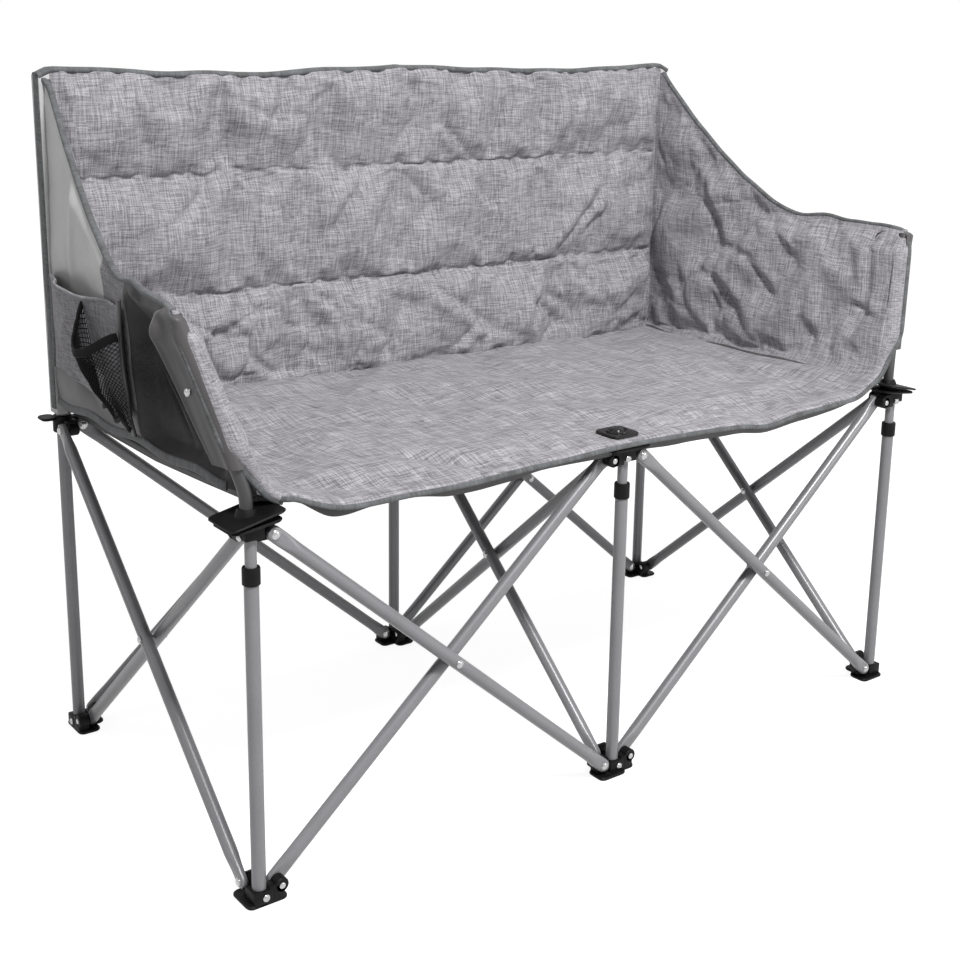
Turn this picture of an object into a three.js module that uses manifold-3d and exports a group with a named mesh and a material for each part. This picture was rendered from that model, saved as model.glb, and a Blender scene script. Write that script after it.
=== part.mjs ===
// Folding two-seat camping sofa. Six uprights stand on a grid of two square cells and are joined
// by seven pairs of crossed bars, so that the frame draws together into a bundle. A padded seat,
// back and arms hang on the frame. Millimetres, +Z up, front towards -Y, origin on the floor
// under the middle of the frame.
import * as THREE from 'three';
import { mergeVertices } from 'three/addons/utils/BufferGeometryUtils.js';
import Module from 'manifold-3d';

const wasm = await Module();
wasm.setup();

// Frame
const CELL = 575; // spacing of the uprights, across and front to back
const LOWER_PIVOT_Z = 20; // rivets in the feet
const UPPER_PIVOT_Z = 476; // rivets in the hubs and sliders, frame open
const CLEAR = 0.4; // gap between pieces that touch or slide

// Tubes
const TUBE_R = 9;
const TUBE_WALL = 1.2;
const TUBE_SIDES = 12;
const POST_TOP = 974; // top of the rear posts
const LEG_BELOW_HUB = 48; // lower tube of a front leg ends this far under the upper rivets
const LEG_TOP = UPPER_PIVOT_Z - LEG_BELOW_HUB;
const INNER_R = 7.2; // telescoping tube of a front leg
const INNER_WALL = 1;
const INNER_LENGTH = 392;
const CAP_HEIGHT = 4;
const CAP_PLUG = 14; // depth of a cap inside its post
const COLLAR_WALL = 1.6;
const COLLAR_BELOW = 12; // collar on the lower tube
const COLLAR_ABOVE = 10; // collar over the telescoping tube

// Feet, hubs and sliders
const SOCKET_WALL = 4.6;
const FOOT_FLOOR = 6; // plastic under an upright
const FOOT_PLATE = 5;
const FOOT_SOCKET_TOP = 23;
const FOOT_WALL = 13; // outer face of a foot's block from the upright's axis
const FOOT_WEB_TOP = 24; // wall between an upright and a lower rivet
const SOLE_OUT = 21; // sole under a bar end from the upright's axis
const HEEL = 22; // plate edge from the upright's axis, where no bar meets it
const PLATE_CORNER_R = 9;
const LUG_THICKNESS = 9;
const FOOT_LUG_THICKNESS = 16.6;
const LUG_R = 9.6;
const HUB_BELOW = 8; // hub socket under the upper rivets
const HUB_ABOVE = 13; // hub socket over the upper rivets
const HUB_PLATE = 4;
const HUB_ROOF = 5; // plastic over the telescoping tube
const HUB_PLATE_OUT = 33; // corner plate towards the outside
const TAB_OUT = 34; // tab of a rear corner slider towards the outside
const TAB_HALF_WIDTH = 15;

// Crossed bars
const BAR_GAP = 1; // between two bars at their crossing
const BAR_SIDES = 10;
const END_HALF_WIDTH = 11; // flattened end of a bar
const END_HALF_THICKNESS = 5;
const END_FLAT = 16; // flat length past the rivet
const END_TAPER = 22;
const FLAT_POWER = 0.55; // squares the section of a flattened end
const RUN_GAP = 0.8; // between a turning bar end and a socket
const PIN_R = 3;
const PIN_HEAD_R = 5.4;
const PIN_HEAD_HEIGHT = 2.4;
const PIN_SIDES = 8;
const RIVET_R = 2.6; // rivet through the middle of a pair
const RIVET_HEAD_R = 4.6;
const RIVET_HEAD_HEIGHT = 2;

// Arm supports
const ARM_R = 8;
const ARM_BASE_BACK = 8; // arm tube behind the leg's axis
const ARM_STRAIGHT = 14; // upright length above the hub plate
const ARM_BEND = 34; // length of the bend above that
const ARM_LEAN_OUT = 61; // top of the tube from its foot
const ARM_LEAN_BACK = 40;
const ARM_TOP = 732;
const ARM_SOCKET_HEIGHT = 8;
const ARM_SOCKET_WALL = 2.6;
const ARM_SOCKET_GAP = 1;
const ARM_SIDES = 10; // even

// Padded back
const BACK_OVER_POST = 11;
const BACK_TOP = POST_TOP + BACK_OVER_POST;
const BACK_BOTTOM = 505;
const BACK_DRAW_IN = 6; // sides pulled in between the corners
const BACK_DIP = 10; // top edge between the posts
const BACK_SEAM_Z = [650, 829]; // sewn lines across the back
const BACK_SEAM_PAD = 5; // padding over the posts at a sewn line
const BACK_CROWN = 14;
const BACK_COLUMNS = 20;
const BACK_ROWS = 15;
const SKIN = 3; // cloth sleeve round a tube

// Padded seat
const SEAT_SIDE_GAP = 0.6; // to the arms
const SEAT_OVERHANG = 18; // front edge past the legs' axis
const SEAT_EDGE_HALF = 5;
const SEAT_CROWN = 7;
const SEAT_SAG = 9;
const SEAT_SHELF = 4; // level stretch behind the hub plates
const SEAT_CORNER_LIFT = 34; // front corners, up to the arms
const SEAT_CORNER_BACK = 16; // and drawn back
const SEAT_CORNER_RUN = 130;
const SEAT_DRAW_IN = 2;
const SEAT_WAVE = 4.5; // soft waves in the upper face
const SEAT_WAVE_LENGTH = 290;
const SEAT_FRONT_DROOP = 7; // front edge between the legs
const SEAT_FRONT_RUN = 100;

// Padded arms
const ARM_PAD_BOTTOM = 512;
const ARM_PAD_TOP = 742; // level stretch over the arm support
const ARM_PAD_REAR_TOP = 966; // at the back
const ARM_SLOPE_SHARE = 0.62; // part of the arm's length that slopes down from the back
const ARM_SLOPE_POWER = 1.5;
const ARM_PAD_HALF = 12;
const ARM_PAD_RIM_HALF = 10.4;
const ARM_SLEEVE = 14; // front edge past the arm tube's axis
const ARM_PUFF = 10; // more padding inside, above the seat
const ARM_PUFF_LOW = 548; // clear of the seat's corner
const ARM_PUFF_RUN = 35;
const ARM_WAVE = 4; // slanting waves in the inner face
const ARM_WAVE_LENGTH = 130;
const ARM_WAVE_SLANT = 0.9; // radians
const ARM_FOLD_DEPTH = 22; // hollow outside the left arm, behind the sleeve
const ARM_FOLD = { rear: 0.62, front: 0.88, edge: 0.07 }; // shares of the arm's length

// Pocket and cup holder on the outside of the left arm, as shares of the arm's length and height
const CLOTH = 2.4;
const SEW_GAP = 0.6;
const POCKET_GAPE = 22; // how far its mouth stands open
const CUP_HOLDER_GAPE = 41;
const POCKET = { rear: 0.04, front: 0.3, low: 0.2, high: 0.56, gape: POCKET_GAPE };
const CUP_HOLDER = { rear: 0.34, front: 0.6, low: 0.1, high: 0.54, gape: CUP_HOLDER_GAPE };

// Fastener plate on the seat over the front middle hub
const BUTTON_PLATE_HALF = 22;
const BUTTON_PLATE_THICKNESS = 3.4;
const BUTTON_R = 10;
const BUTTON_HEIGHT = 4;
const BUTTON_PLATE_BACK = 14; // behind the leg's axis

// Worked out from the values above
const POST_Y = CELL / 2;
const SOCKET_R = TUBE_R + CLEAR + SOCKET_WALL;
const PIVOT_REACH = SOCKET_R + RUN_GAP + END_HALF_WIDTH; // bar rivet to upright axis
const TOE = PIVOT_REACH + LUG_R; // plate edge where a bar meets it
const BAR_OFFSET = TUBE_R + BAR_GAP / 2;
const BAR_RUN = CELL - 2 * PIVOT_REACH;
const BAR_RISE = UPPER_PIVOT_Z - LOWER_PIVOT_Z;
const BAR_LENGTH = Math.hypot(BAR_RUN, BAR_RISE);
const BAR_TILT = Math.atan2(BAR_RISE, BAR_RUN);
const HUB_LOW = UPPER_PIVOT_Z - HUB_BELOW;
const HUB_HIGH = UPPER_PIVOT_Z + HUB_ABOVE;
const HUB_TOP = HUB_HIGH + HUB_PLATE;
const INNER_TOP = HUB_TOP - HUB_ROOF - CLEAR;
const ARM_BASE_Z = HUB_TOP + CLEAR;
const BACK_X = CELL + TUBE_R + CLEAR + SKIN + BACK_DRAW_IN;
const BACK_FRONT_Y = POST_Y - TUBE_R - CLEAR - BACK_SEAM_PAD;
const SEAT_X = CELL - ARM_PAD_HALF - SEAT_SIDE_GAP;
const SEAT_FRONT_Y = -POST_Y - SEAT_OVERHANG;
const SEAT_REAR_Y = POST_Y - TUBE_R - CLEAR - SKIN; // lies under the lower edge of the back
const SEAT_FREE_Y = POST_Y - TOE - SEAT_SHELF; // lies level on the hubs, hangs between them
const SEAT_MID_Z = HUB_TOP + CLEAR + SEAT_EDGE_HALF;
const ARM_PAD_REAR_Y = BACK_FRONT_Y - CLEAR;

const material = (color, roughness, metalness) =>
  new THREE.MeshStandardMaterial({ color, roughness, metalness, flatShading: true });
const steel = material(0xa3a3a8, 0.38, 0.7);
const zinc = material(0xc9c9cc, 0.3, 0.9);
const plastic = material(0x171718, 0.5, 0);
const darkTube = material(0x4a4a4e, 0.45, 0.5);
const melange = material(0xa39f9f, 0.95, 0);
const mesh = material(0x1b1b1c, 0.9, 0);

// Geometry helpers

// Only positions, shared corners merged, no collapsed triangles, faces outward
function clean(geometry) {
  const bare = geometry.clone();
  bare.deleteAttribute('normal');
  bare.deleteAttribute('uv');
  const merged = mergeVertices(bare, 1e-4);
  const position = merged.attributes.position;
  const corners = Array.from(merged.index.array);
  const kept = [];
  let volume = 0;
  const a = new THREE.Vector3();
  const b = new THREE.Vector3();
  const c = new THREE.Vector3();
  for (let i = 0; i < corners.length; i += 3) {
    const [p, q, r] = corners.slice(i, i + 3);
    if (p === q || q === r || r === p) continue;
    kept.push(p, q, r);
    a.fromBufferAttribute(position, p);
    b.fromBufferAttribute(position, q);
    c.fromBufferAttribute(position, r);
    volume += a.dot(b.cross(c));
  }
  if (volume < 0) kept.reverse();
  merged.setIndex(kept);
  return merged;
}

function toSolid(geometry) {
  const shape = clean(geometry);
  return new wasm.Manifold(new wasm.Mesh({
    numProp: 3,
    vertProperties: new Float32Array(shape.attributes.position.array),
    triVerts: new Uint32Array(shape.index.array),
  }));
}

function toGeometry(solid) {
  const { vertProperties, triVerts } = solid.getMesh();
  const geometry = new THREE.BufferGeometry();
  geometry.setAttribute('position', new THREE.BufferAttribute(vertProperties, 3));
  geometry.setIndex(Array.from(triVerts));
  return geometry;
}

const join = (shapes) =>
  toGeometry(shapes.map(toSolid).reduce((whole, piece) => whole.add(piece)));

const cut = (shape, tools) =>
  toGeometry(tools.map(toSolid).reduce((whole, tool) => whole.subtract(tool), toSolid(shape)));

// Solid of revolution about Z from [radius, height] pairs
function turned(profile, sides = TUBE_SIDES) {
  const points = profile.map(([r, z]) => new THREE.Vector2(r, z));
  return clean(new THREE.LatheGeometry(points, sides).rotateX(Math.PI / 2));
}

const rod = (r, low, high, sides) => turned([[0, low], [r, low], [r, high], [0, high]], sides);

const pipe = (inner, outer, low, high, sides) =>
  turned([[inner, low], [outer, low], [outer, high], [inner, high], [inner, low]], sides);

// Radius of a many-sided hole whose flats clear a round piece
const hole = (r, sides = TUBE_SIDES, gap = CLEAR) => (r + gap) / Math.cos(Math.PI / sides);

function box(low, high) {
  const size = high.map((value, i) => value - low[i]);
  const middle = high.map((value, i) => (value + low[i]) / 2);
  return new THREE.BoxGeometry(...size).translate(...middle);
}

// Flat plate with rounded corners
function plate(left, right, front, rear, low, high, r = PLATE_CORNER_R) {
  const outline = new THREE.Shape();
  outline.absarc(right - r, front + r, r, -Math.PI / 2, 0);
  outline.absarc(right - r, rear - r, r, 0, Math.PI / 2);
  outline.absarc(left + r, rear - r, r, Math.PI / 2, Math.PI);
  outline.absarc(left + r, front + r, r, Math.PI, Math.PI * 1.5);
  const depth = high - low;
  const flat = new THREE.ExtrudeGeometry(outline, { depth, bevelEnabled: false, curveSegments: 2 });
  return flat.translate(0, 0, low);
}

// Skin over rings of points with a fan on each end
function lofted(rings) {
  const sides = rings[0].length;
  const geometry = new THREE.BufferGeometry().setFromPoints(rings.flat());
  const index = [];
  for (let ring = 0; ring + 1 < rings.length; ring++) {
    for (let i = 0; i < sides; i++) {
      const a = ring * sides + i;
      const b = ring * sides + ((i + 1) % sides);
      index.push(a, b, a + sides, b, b + sides, a + sides);
    }
  }
  const last = (rings.length - 1) * sides;
  for (let i = 1; i + 1 < sides; i++) {
    index.push(0, i + 1, i, last, last + i, last + i + 1);
  }
  geometry.setIndex(index);
  return clean(geometry);
}

// Closed pad between two skins over the same grid; each skin is a function of u and v
function padded(columns, rows, skinA, skinB) {
  const points = [];
  for (const skin of [skinA, skinB]) {
    for (let j = 0; j <= rows; j++) {
      for (let i = 0; i <= columns; i++) points.push(skin(i / columns, j / rows));
    }
  }
  const across = columns + 1;
  const other = across * (rows + 1);
  const index = [];
  for (let j = 0; j < rows; j++) {
    for (let i = 0; i < columns; i++) {
      const a = j * across + i;
      const [b, c, d] = [a + 1, a + across, a + across + 1];
      index.push(a, b, c, b, d, c);
      index.push(other + a, other + c, other + b, other + b, other + c, other + d);
    }
  }
  const wall = (a, b) => index.push(a, other + a, b, b, other + a, other + b);
  for (let i = 0; i < columns; i++) {
    wall(i, i + 1);
    wall(rows * across + i + 1, rows * across + i);
  }
  for (let j = 0; j < rows; j++) {
    wall((j + 1) * across, j * across);
    wall(j * across + columns, (j + 1) * across + columns);
  }
  const geometry = new THREE.BufferGeometry().setFromPoints(points);
  geometry.setIndex(index);
  return clean(geometry);
}

const lerp = THREE.MathUtils.lerp;

// Value at t along evenly shared stretches between the stops
function stretch(stops, t) {
  const step = t * (stops.length - 1);
  const first = Math.min(Math.floor(step), stops.length - 2);
  return lerp(stops[first], stops[first + 1], step - first);
}

const arch = (t) => Math.sin(Math.PI * THREE.MathUtils.clamp(t, 0, 1));

const sofa = new THREE.Group();

function addPiece(parent, name, geometry, finish) {
  const piece = new THREE.Mesh(geometry, finish);
  piece.name = name;
  parent.add(piece);
}

// Uprights: column -1, 0, 1 from left to right, row -1 in front and 1 behind
const COLUMN_NAMES = { '-1': 'left', 0: 'center', 1: 'right' };
const ROW_NAMES = { '-1': 'front', 1: 'rear' };
const uprights = [];
for (const row of [-1, 1]) {
  for (const column of [-1, 0, 1]) {
    const name = `${ROW_NAMES[row]}_${COLUMN_NAMES[column]}`;
    const group = new THREE.Group();
    group.position.set(column * CELL, row * POST_Y, 0);
    sofa.add(group);
    uprights.push({ name, row, column, group });
  }
}

// Neighbours of an upright, each with the angle about Z that faces it
function neighbours(upright) {
  const found = [];
  for (const other of uprights) {
    const dx = other.column - upright.column;
    const dy = (other.row - upright.row) / 2;
    if (Math.abs(dx) + Math.abs(dy) === 1) found.push({ other, angle: Math.atan2(dy, dx) });
  }
  return found;
}

// Reach of a plate on the left, right, front and rear of an upright
function plateSides(upright, heel) {
  const rightward = upright.column < 1 ? TOE : heel;
  const leftward = upright.column > -1 ? TOE : heel;
  const frontward = upright.row > 0 ? TOE : HEEL;
  const rearward = upright.row < 0 ? TOE : HEEL;
  return [-leftward, rightward, -frontward, rearward];
}

// Lug and riveted pin that carry one bar end. The bar lies on the side that side points to.
function lug(angle, side, pivotZ, low, high, thickness = LUG_THICKNESS) {
  const inner = BAR_OFFSET - END_HALF_THICKNESS - CLEAR; // face towards the bar
  const outer = inner - thickness;
  const [near, far] = [Math.min(side * inner, side * outer), Math.max(side * inner, side * outer)];
  const web = box([SOCKET_R - SOCKET_WALL, near, low], [PIVOT_REACH, far, high]);
  const eye = rod(LUG_R, near, far).rotateX(-Math.PI / 2).translate(PIVOT_REACH, 0, pivotZ);
  const headZ = BAR_OFFSET + END_HALF_THICKNESS + CLEAR;
  const tip = headZ + PIN_HEAD_HEIGHT;
  const profile = [[0, outer], [PIN_R, outer], [PIN_R, headZ], [PIN_HEAD_R, headZ],
    [PIN_HEAD_R * 0.72, tip], [0, tip]];
  const pin = turned(profile, PIN_SIDES).rotateX((-side * Math.PI) / 2);
  pin.translate(PIVOT_REACH, 0, pivotZ);
  return [web, eye, pin].map((shape) => shape.rotateZ(angle));
}

// Block round the end of an upright, with a wall and a sole along each bar
function foot(upright) {
  const block = box([-FOOT_WALL, -FOOT_WALL, 0], [FOOT_WALL, FOOT_WALL, FOOT_SOCKET_TOP]);
  const wings = neighbours(upright).flatMap(({ angle }) => {
    const sole = plate(-FOOT_WALL, TOE, -FOOT_WALL, SOLE_OUT, 0, FOOT_PLATE).rotateZ(angle);
    const wall = lug(angle, 1, LOWER_PIVOT_Z, FOOT_PLATE / 2, FOOT_WEB_TOP, FOOT_LUG_THICKNESS);
    return [sole, ...wall];
  });
  const bore = rod(hole(TUBE_R), FOOT_FLOOR, FOOT_WEB_TOP + 1);
  return cut(join([block, ...wings]), [bore]);
}

const upperLugs = (upright) => neighbours(upright).flatMap(({ angle }) =>
  lug(angle, -1, UPPER_PIVOT_Z, UPPER_PIVOT_Z - LUG_R, HUB_HIGH));

// Hub on top of a front leg; the corner hubs hold an arm support
function hub(upright) {
  const socket = rod(SOCKET_R, HUB_LOW, HUB_TOP);
  const deck = plate(...plateSides(upright, HUB_PLATE_OUT), HUB_HIGH, HUB_TOP);
  const shapes = [socket, deck, ...upperLugs(upright)];
  const bores = [rod(hole(INNER_R), HUB_LOW - 1, HUB_TOP - HUB_ROOF)];
  if (upright.column !== 0) {
    const bore = hole(ARM_R, TUBE_SIDES, ARM_SOCKET_GAP);
    const wall = rod(bore + ARM_SOCKET_WALL, HUB_HIGH, HUB_TOP + ARM_SOCKET_HEIGHT);
    const well = rod(bore, HUB_TOP, HUB_TOP + ARM_SOCKET_HEIGHT + 1);
    shapes.push(wall.translate(0, ARM_BASE_BACK, 0));
    bores.push(well.translate(0, ARM_BASE_BACK, 0));
  }
  return cut(join(shapes), bores);
}

// Slider on a rear post; the corner sliders have a tab that sticks outward
function slider(upright) {
  const shapes = [rod(SOCKET_R, HUB_LOW, HUB_TOP), ...upperLugs(upright)];
  if (upright.column !== 0) {
    const reach = [Math.min(0, upright.column * TAB_OUT), Math.max(0, upright.column * TAB_OUT)];
    shapes.push(plate(...reach, -TAB_HALF_WIDTH, TAB_HALF_WIDTH, HUB_HIGH, HUB_TOP));
  }
  return cut(join(shapes), [rod(hole(TUBE_R), HUB_LOW - 1, HUB_TOP + 1)]);
}

const collarProfile = [
  [hole(TUBE_R), LEG_TOP - COLLAR_BELOW],
  [hole(TUBE_R) + COLLAR_WALL, LEG_TOP - COLLAR_BELOW],
  [hole(TUBE_R) + COLLAR_WALL, LEG_TOP + COLLAR_ABOVE],
  [hole(INNER_R), LEG_TOP + COLLAR_ABOVE],
  [hole(INNER_R), LEG_TOP + CLEAR],
  [hole(TUBE_R), LEG_TOP + CLEAR],
  [hole(TUBE_R), LEG_TOP - COLLAR_BELOW],
];
const capProfile = [
  [0, POST_TOP - CAP_PLUG],
  [TUBE_R - TUBE_WALL - CLEAR, POST_TOP - CAP_PLUG],
  [TUBE_R - TUBE_WALL - CLEAR, POST_TOP + CLEAR],
  [TUBE_R, POST_TOP + CLEAR],
  [TUBE_R, POST_TOP + CLEAR + CAP_HEIGHT / 2],
  [TUBE_R / 2, POST_TOP + CLEAR + CAP_HEIGHT],
  [0, POST_TOP + CLEAR + CAP_HEIGHT],
];
const TUBE_FOOT = FOOT_FLOOR + CLEAR;
const TUBE_BORE = TUBE_R - TUBE_WALL;

for (const upright of uprights) {
  const { name, row, group } = upright;
  addPiece(group, `foot_${name}`, foot(upright), plastic);
  if (row < 0) {
    const inner = [INNER_R - INNER_WALL, INNER_R, INNER_TOP - INNER_LENGTH, INNER_TOP];
    addPiece(group, `leg_tube_${name}`, pipe(TUBE_BORE, TUBE_R, TUBE_FOOT, LEG_TOP), steel);
    addPiece(group, `leg_collar_${name}`, turned(collarProfile), plastic);
    addPiece(group, `inner_tube_${name}`, pipe(...inner), steel);
    addPiece(group, `hub_${name}`, hub(upright), plastic);
  } else {
    addPiece(group, `post_${name}`, pipe(TUBE_BORE, TUBE_R, TUBE_FOOT, POST_TOP), steel);
    addPiece(group, `post_cap_${name}`, turned(capProfile), plastic);
    addPiece(group, `slider_${name}`, slider(upright), plastic);
  }
}

// Crossed bars: each runs from the foot of one upright to the hub or slider of its neighbour

function ring(x, halfWidth, halfThickness, power) {
  const points = [];
  const squared = (value) => Math.sign(value) * Math.abs(value) ** power;
  for (let i = 0; i < BAR_SIDES; i++) {
    const turn = (2 * Math.PI * (i + 0.5)) / BAR_SIDES;
    const y = halfThickness * squared(Math.cos(turn));
    points.push(new THREE.Vector3(x, y, halfWidth * squared(Math.sin(turn))));
  }
  return points;
}

// Tube along X from rivet to rivet, flattened and rounded at both ends
function crossBar() {
  const flat = (x, halfWidth) => ring(x, halfWidth, END_HALF_THICKNESS, FLAT_POWER);
  const round = (x) => ring(x, TUBE_R, TUBE_R, 1);
  const tip = [28, 90].map((degrees) => {
    const turn = THREE.MathUtils.degToRad(degrees);
    return [END_HALF_WIDTH * Math.cos(turn), END_HALF_WIDTH * Math.sin(turn)];
  });
  const start = tip.map(([past, halfWidth]) => flat(-past, halfWidth));
  const end = tip.map(([past, halfWidth]) => flat(BAR_LENGTH + past, halfWidth)).reverse();
  const taper = END_FLAT + END_TAPER;
  const tube = lofted([
    ...start, flat(END_FLAT, END_HALF_WIDTH), round(taper),
    round(BAR_LENGTH - taper), flat(BAR_LENGTH - END_FLAT, END_HALF_WIDTH), ...end,
  ]);
  const drill = (x, r) => rod(hole(r, PIN_SIDES), -2 * TUBE_R, 2 * TUBE_R, PIN_SIDES)
    .rotateX(Math.PI / 2).translate(x, 0, 0);
  return cut(tube, [drill(0, PIN_R), drill(BAR_LENGTH / 2, RIVET_R), drill(BAR_LENGTH, PIN_R)]);
}

// Rivet through both bars of a pair, with a domed head on each side
function crossRivet() {
  const under = BAR_OFFSET + TUBE_R + CLEAR;
  const top = under + RIVET_HEAD_HEIGHT;
  const profile = [[0, -top], [RIVET_HEAD_R * 0.7, -top], [RIVET_HEAD_R, -under],
    [RIVET_R, -under], [RIVET_R, under], [RIVET_HEAD_R, under], [RIVET_HEAD_R * 0.7, top], [0, top]];
  return turned(profile, PIN_SIDES).rotateX(Math.PI / 2);
}

for (const upright of uprights) {
  for (const { other, angle } of neighbours(upright)) {
    const facing = new THREE.Group();
    facing.rotation.z = angle;
    upright.group.add(facing);
    const tilted = new THREE.Group();
    tilted.position.set(PIVOT_REACH, BAR_OFFSET, LOWER_PIVOT_Z);
    tilted.rotation.y = -BAR_TILT;
    facing.add(tilted);
    addPiece(tilted, `cross_bar_${upright.name}_to_${other.name}`, crossBar(), steel);
    if (uprights.indexOf(upright) < uprights.indexOf(other)) {
      const middle = new THREE.Group();
      middle.position.set(CELL / 2, 0, (LOWER_PIVOT_Z + UPPER_PIVOT_Z) / 2);
      facing.add(middle);
      addPiece(middle, `cross_rivet_${upright.name}_to_${other.name}`, crossRivet(), zinc);
    }
  }
}

// Arm supports: bent tubes that stand in the corner hubs and lean out and back

function armPath(side) {
  const at = (out, back, z) => new THREE.Vector3(side * (CELL + out), ARM_BASE_BACK - POST_Y + back, z);
  const foot = at(0, 0, ARM_BASE_Z);
  const bendLow = at(0, 0, ARM_BASE_Z + ARM_STRAIGHT);
  const bendHigh = at(0, 0, ARM_BASE_Z + ARM_STRAIGHT + ARM_BEND / 2);
  const top = at(ARM_LEAN_OUT, ARM_LEAN_BACK, ARM_TOP);
  const share = ARM_BEND / 2 / (ARM_TOP - bendHigh.z);
  const leave = bendHigh.clone().lerp(top, share);
  const path = new THREE.CurvePath();
  path.add(new THREE.LineCurve3(foot, bendLow));
  path.add(new THREE.QuadraticBezierCurve3(bendLow, bendHigh, leave));
  path.add(new THREE.LineCurve3(leave, top));
  return path;
}

// Middle of the arm tube at a height, as distances outward and along Y
function armLine(z) {
  const low = ARM_BASE_Z + ARM_STRAIGHT + ARM_BEND / 2;
  const t = (z - low) / (ARM_TOP - low);
  const climb = Math.max(t, 0);
  return { out: CELL + ARM_LEAN_OUT * climb, y: ARM_BASE_BACK - POST_Y + ARM_LEAN_BACK * climb };
}

function tubeAlong(path, r, steps) {
  const section = new THREE.Shape().absarc(0, 0, r, 0, 2 * Math.PI);
  const options = { steps, extrudePath: path, curveSegments: ARM_SIDES / 2, bevelEnabled: false };
  return clean(new THREE.ExtrudeGeometry(section, options));
}

const ARM_STEPS = 14;
const SIDES = { left: -1, right: 1 };
for (const [word, side] of Object.entries(SIDES)) {
  addPiece(sofa, `arm_post_${word}`, tubeAlong(armPath(side), ARM_R, ARM_STEPS), darkTube);
}

// Padded back: three channels in front, with sleeves round the posts

function backChannel(z, top) {
  const lines = [BACK_BOTTOM, ...BACK_SEAM_Z, top];
  const channel = Math.max(lines.findIndex((line) => z < line), 1) - 1;
  const [low, high] = [lines[channel], lines[channel + 1]];
  return z >= top ? 0 : arch((z - low) / (high - low)) ** 0.7;
}

function backSkin(front) {
  return (u, v) => {
    const top = BACK_TOP - BACK_DIP * Math.abs(Math.sin(2 * Math.PI * u)) ** 0.7;
    const z = stretch([BACK_BOTTOM, ...BACK_SEAM_Z, top], v);
    const edge = BACK_X - BACK_DRAW_IN * arch(v);
    const x = lerp(-edge, edge, u);
    // the outer columns stay flat, because the arms meet the back there
    const rim = THREE.MathUtils.smoothstep(Math.min(u, 1 - u) * BACK_COLUMNS, 1, 4);
    const crown = BACK_CROWN * rim * backChannel(z, top);
    const y = front ? BACK_FRONT_Y - crown : POST_Y + TUBE_R + CLEAR + SKIN;
    return new THREE.Vector3(x, y, z);
  };
}

const sleeveTop = POST_TOP + CAP_HEIGHT + 2 * CLEAR;
const sleeves = [-1, 0, 1].map((column) =>
  rod(hole(TUBE_R), BACK_BOTTOM - 1, sleeveTop).translate(column * CELL, POST_Y, 0));
const backPad = padded(BACK_COLUMNS, BACK_ROWS, backSkin(true), backSkin(false));
addPiece(sofa, 'back_pad', cut(backPad, sleeves), melange);

// Padded seat in a front and a rear half, which fold up against each other

const seatCorner = (x) =>
  THREE.MathUtils.smoothstep(Math.abs(x), SEAT_X - SEAT_CORNER_RUN, SEAT_X);

function seatMiddle(x, y) {
  const depth = arch((y + SEAT_FREE_Y) / (2 * SEAT_FREE_Y));
  const across = 1 - (Math.abs(x) / SEAT_X) ** 6;
  const corner = y < 0 ? seatCorner(x) * (1 - depth) : 0;
  const front = 1 - THREE.MathUtils.smoothstep(y - SEAT_FRONT_Y, 0, SEAT_FRONT_RUN);
  const droop = SEAT_FRONT_DROOP * front * Math.sin(Math.PI * x / CELL) ** 2 * (1 - seatCorner(x));
  const z = SEAT_MID_Z - SEAT_SAG * depth * across + SEAT_CORNER_LIFT * corner - droop;
  return { z, half: SEAT_EDGE_HALF + SEAT_CROWN * depth * across, wave: seatWave(x, y) * depth * across };
}

function seatWave(x, y) {
  const turn = 2 * Math.PI / SEAT_WAVE_LENGTH;
  return SEAT_WAVE * Math.sin(turn * (x + y / 3)) * Math.cos(turn * y * 1.2);
}

function seatSkin(stops, sign) {
  return (u, v) => {
    const y = stretch(stops, v);
    const along = (y - SEAT_FRONT_Y) / (SEAT_REAR_Y - SEAT_FRONT_Y);
    const edge = SEAT_X - SEAT_DRAW_IN * arch(along);
    const x = lerp(-edge, edge, u);
    const { z, half, wave } = seatMiddle(x, y);
    const back = SEAT_CORNER_BACK * seatCorner(x) * Math.max(1 - 2 * along, 0);
    return new THREE.Vector3(x, y + back, z + sign * half + (sign > 0 ? wave : 0));
  };
}

const SEAT_COLUMNS = 24;
const SEAT_ROWS = 8;
const hung = [CLEAR / 2, SEAT_FREE_Y * 0.3, SEAT_FREE_Y * 0.62, SEAT_FREE_Y];
const seatHalves = {
  front: [SEAT_FRONT_Y, ...hung.map((y) => -y).reverse()],
  rear: [...hung, SEAT_REAR_Y],
};
for (const [word, stops] of Object.entries(seatHalves)) {
  const skins = [1, -1].map((sign) => seatSkin(stops, sign));
  addPiece(sofa, `seat_${word}_pad`, padded(SEAT_COLUMNS, SEAT_ROWS, ...skins), melange);
}

// Padded arms: a flared panel from the back to a sleeve round the arm support

// s runs from the back to the front and v from the lower edge to the upper one
function armPoint(s, v, offset) {
  const slope = Math.max(1 - s / ARM_SLOPE_SHARE, 0) ** ARM_SLOPE_POWER;
  const top = ARM_PAD_TOP + (ARM_PAD_REAR_TOP - ARM_PAD_TOP) * slope;
  const z = lerp(ARM_PAD_BOTTOM, top, v);
  const line = armLine(Math.min(z, ARM_PAD_TOP));
  const y = lerp(ARM_PAD_REAR_Y, line.y - ARM_SLEEVE, s);
  const half = lerp(ARM_PAD_RIM_HALF, ARM_PAD_HALF, arch(v) * arch(s) ** 0.5);
  return { out: lerp(CELL, line.out, s) + offset * half, y, z };
}

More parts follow.
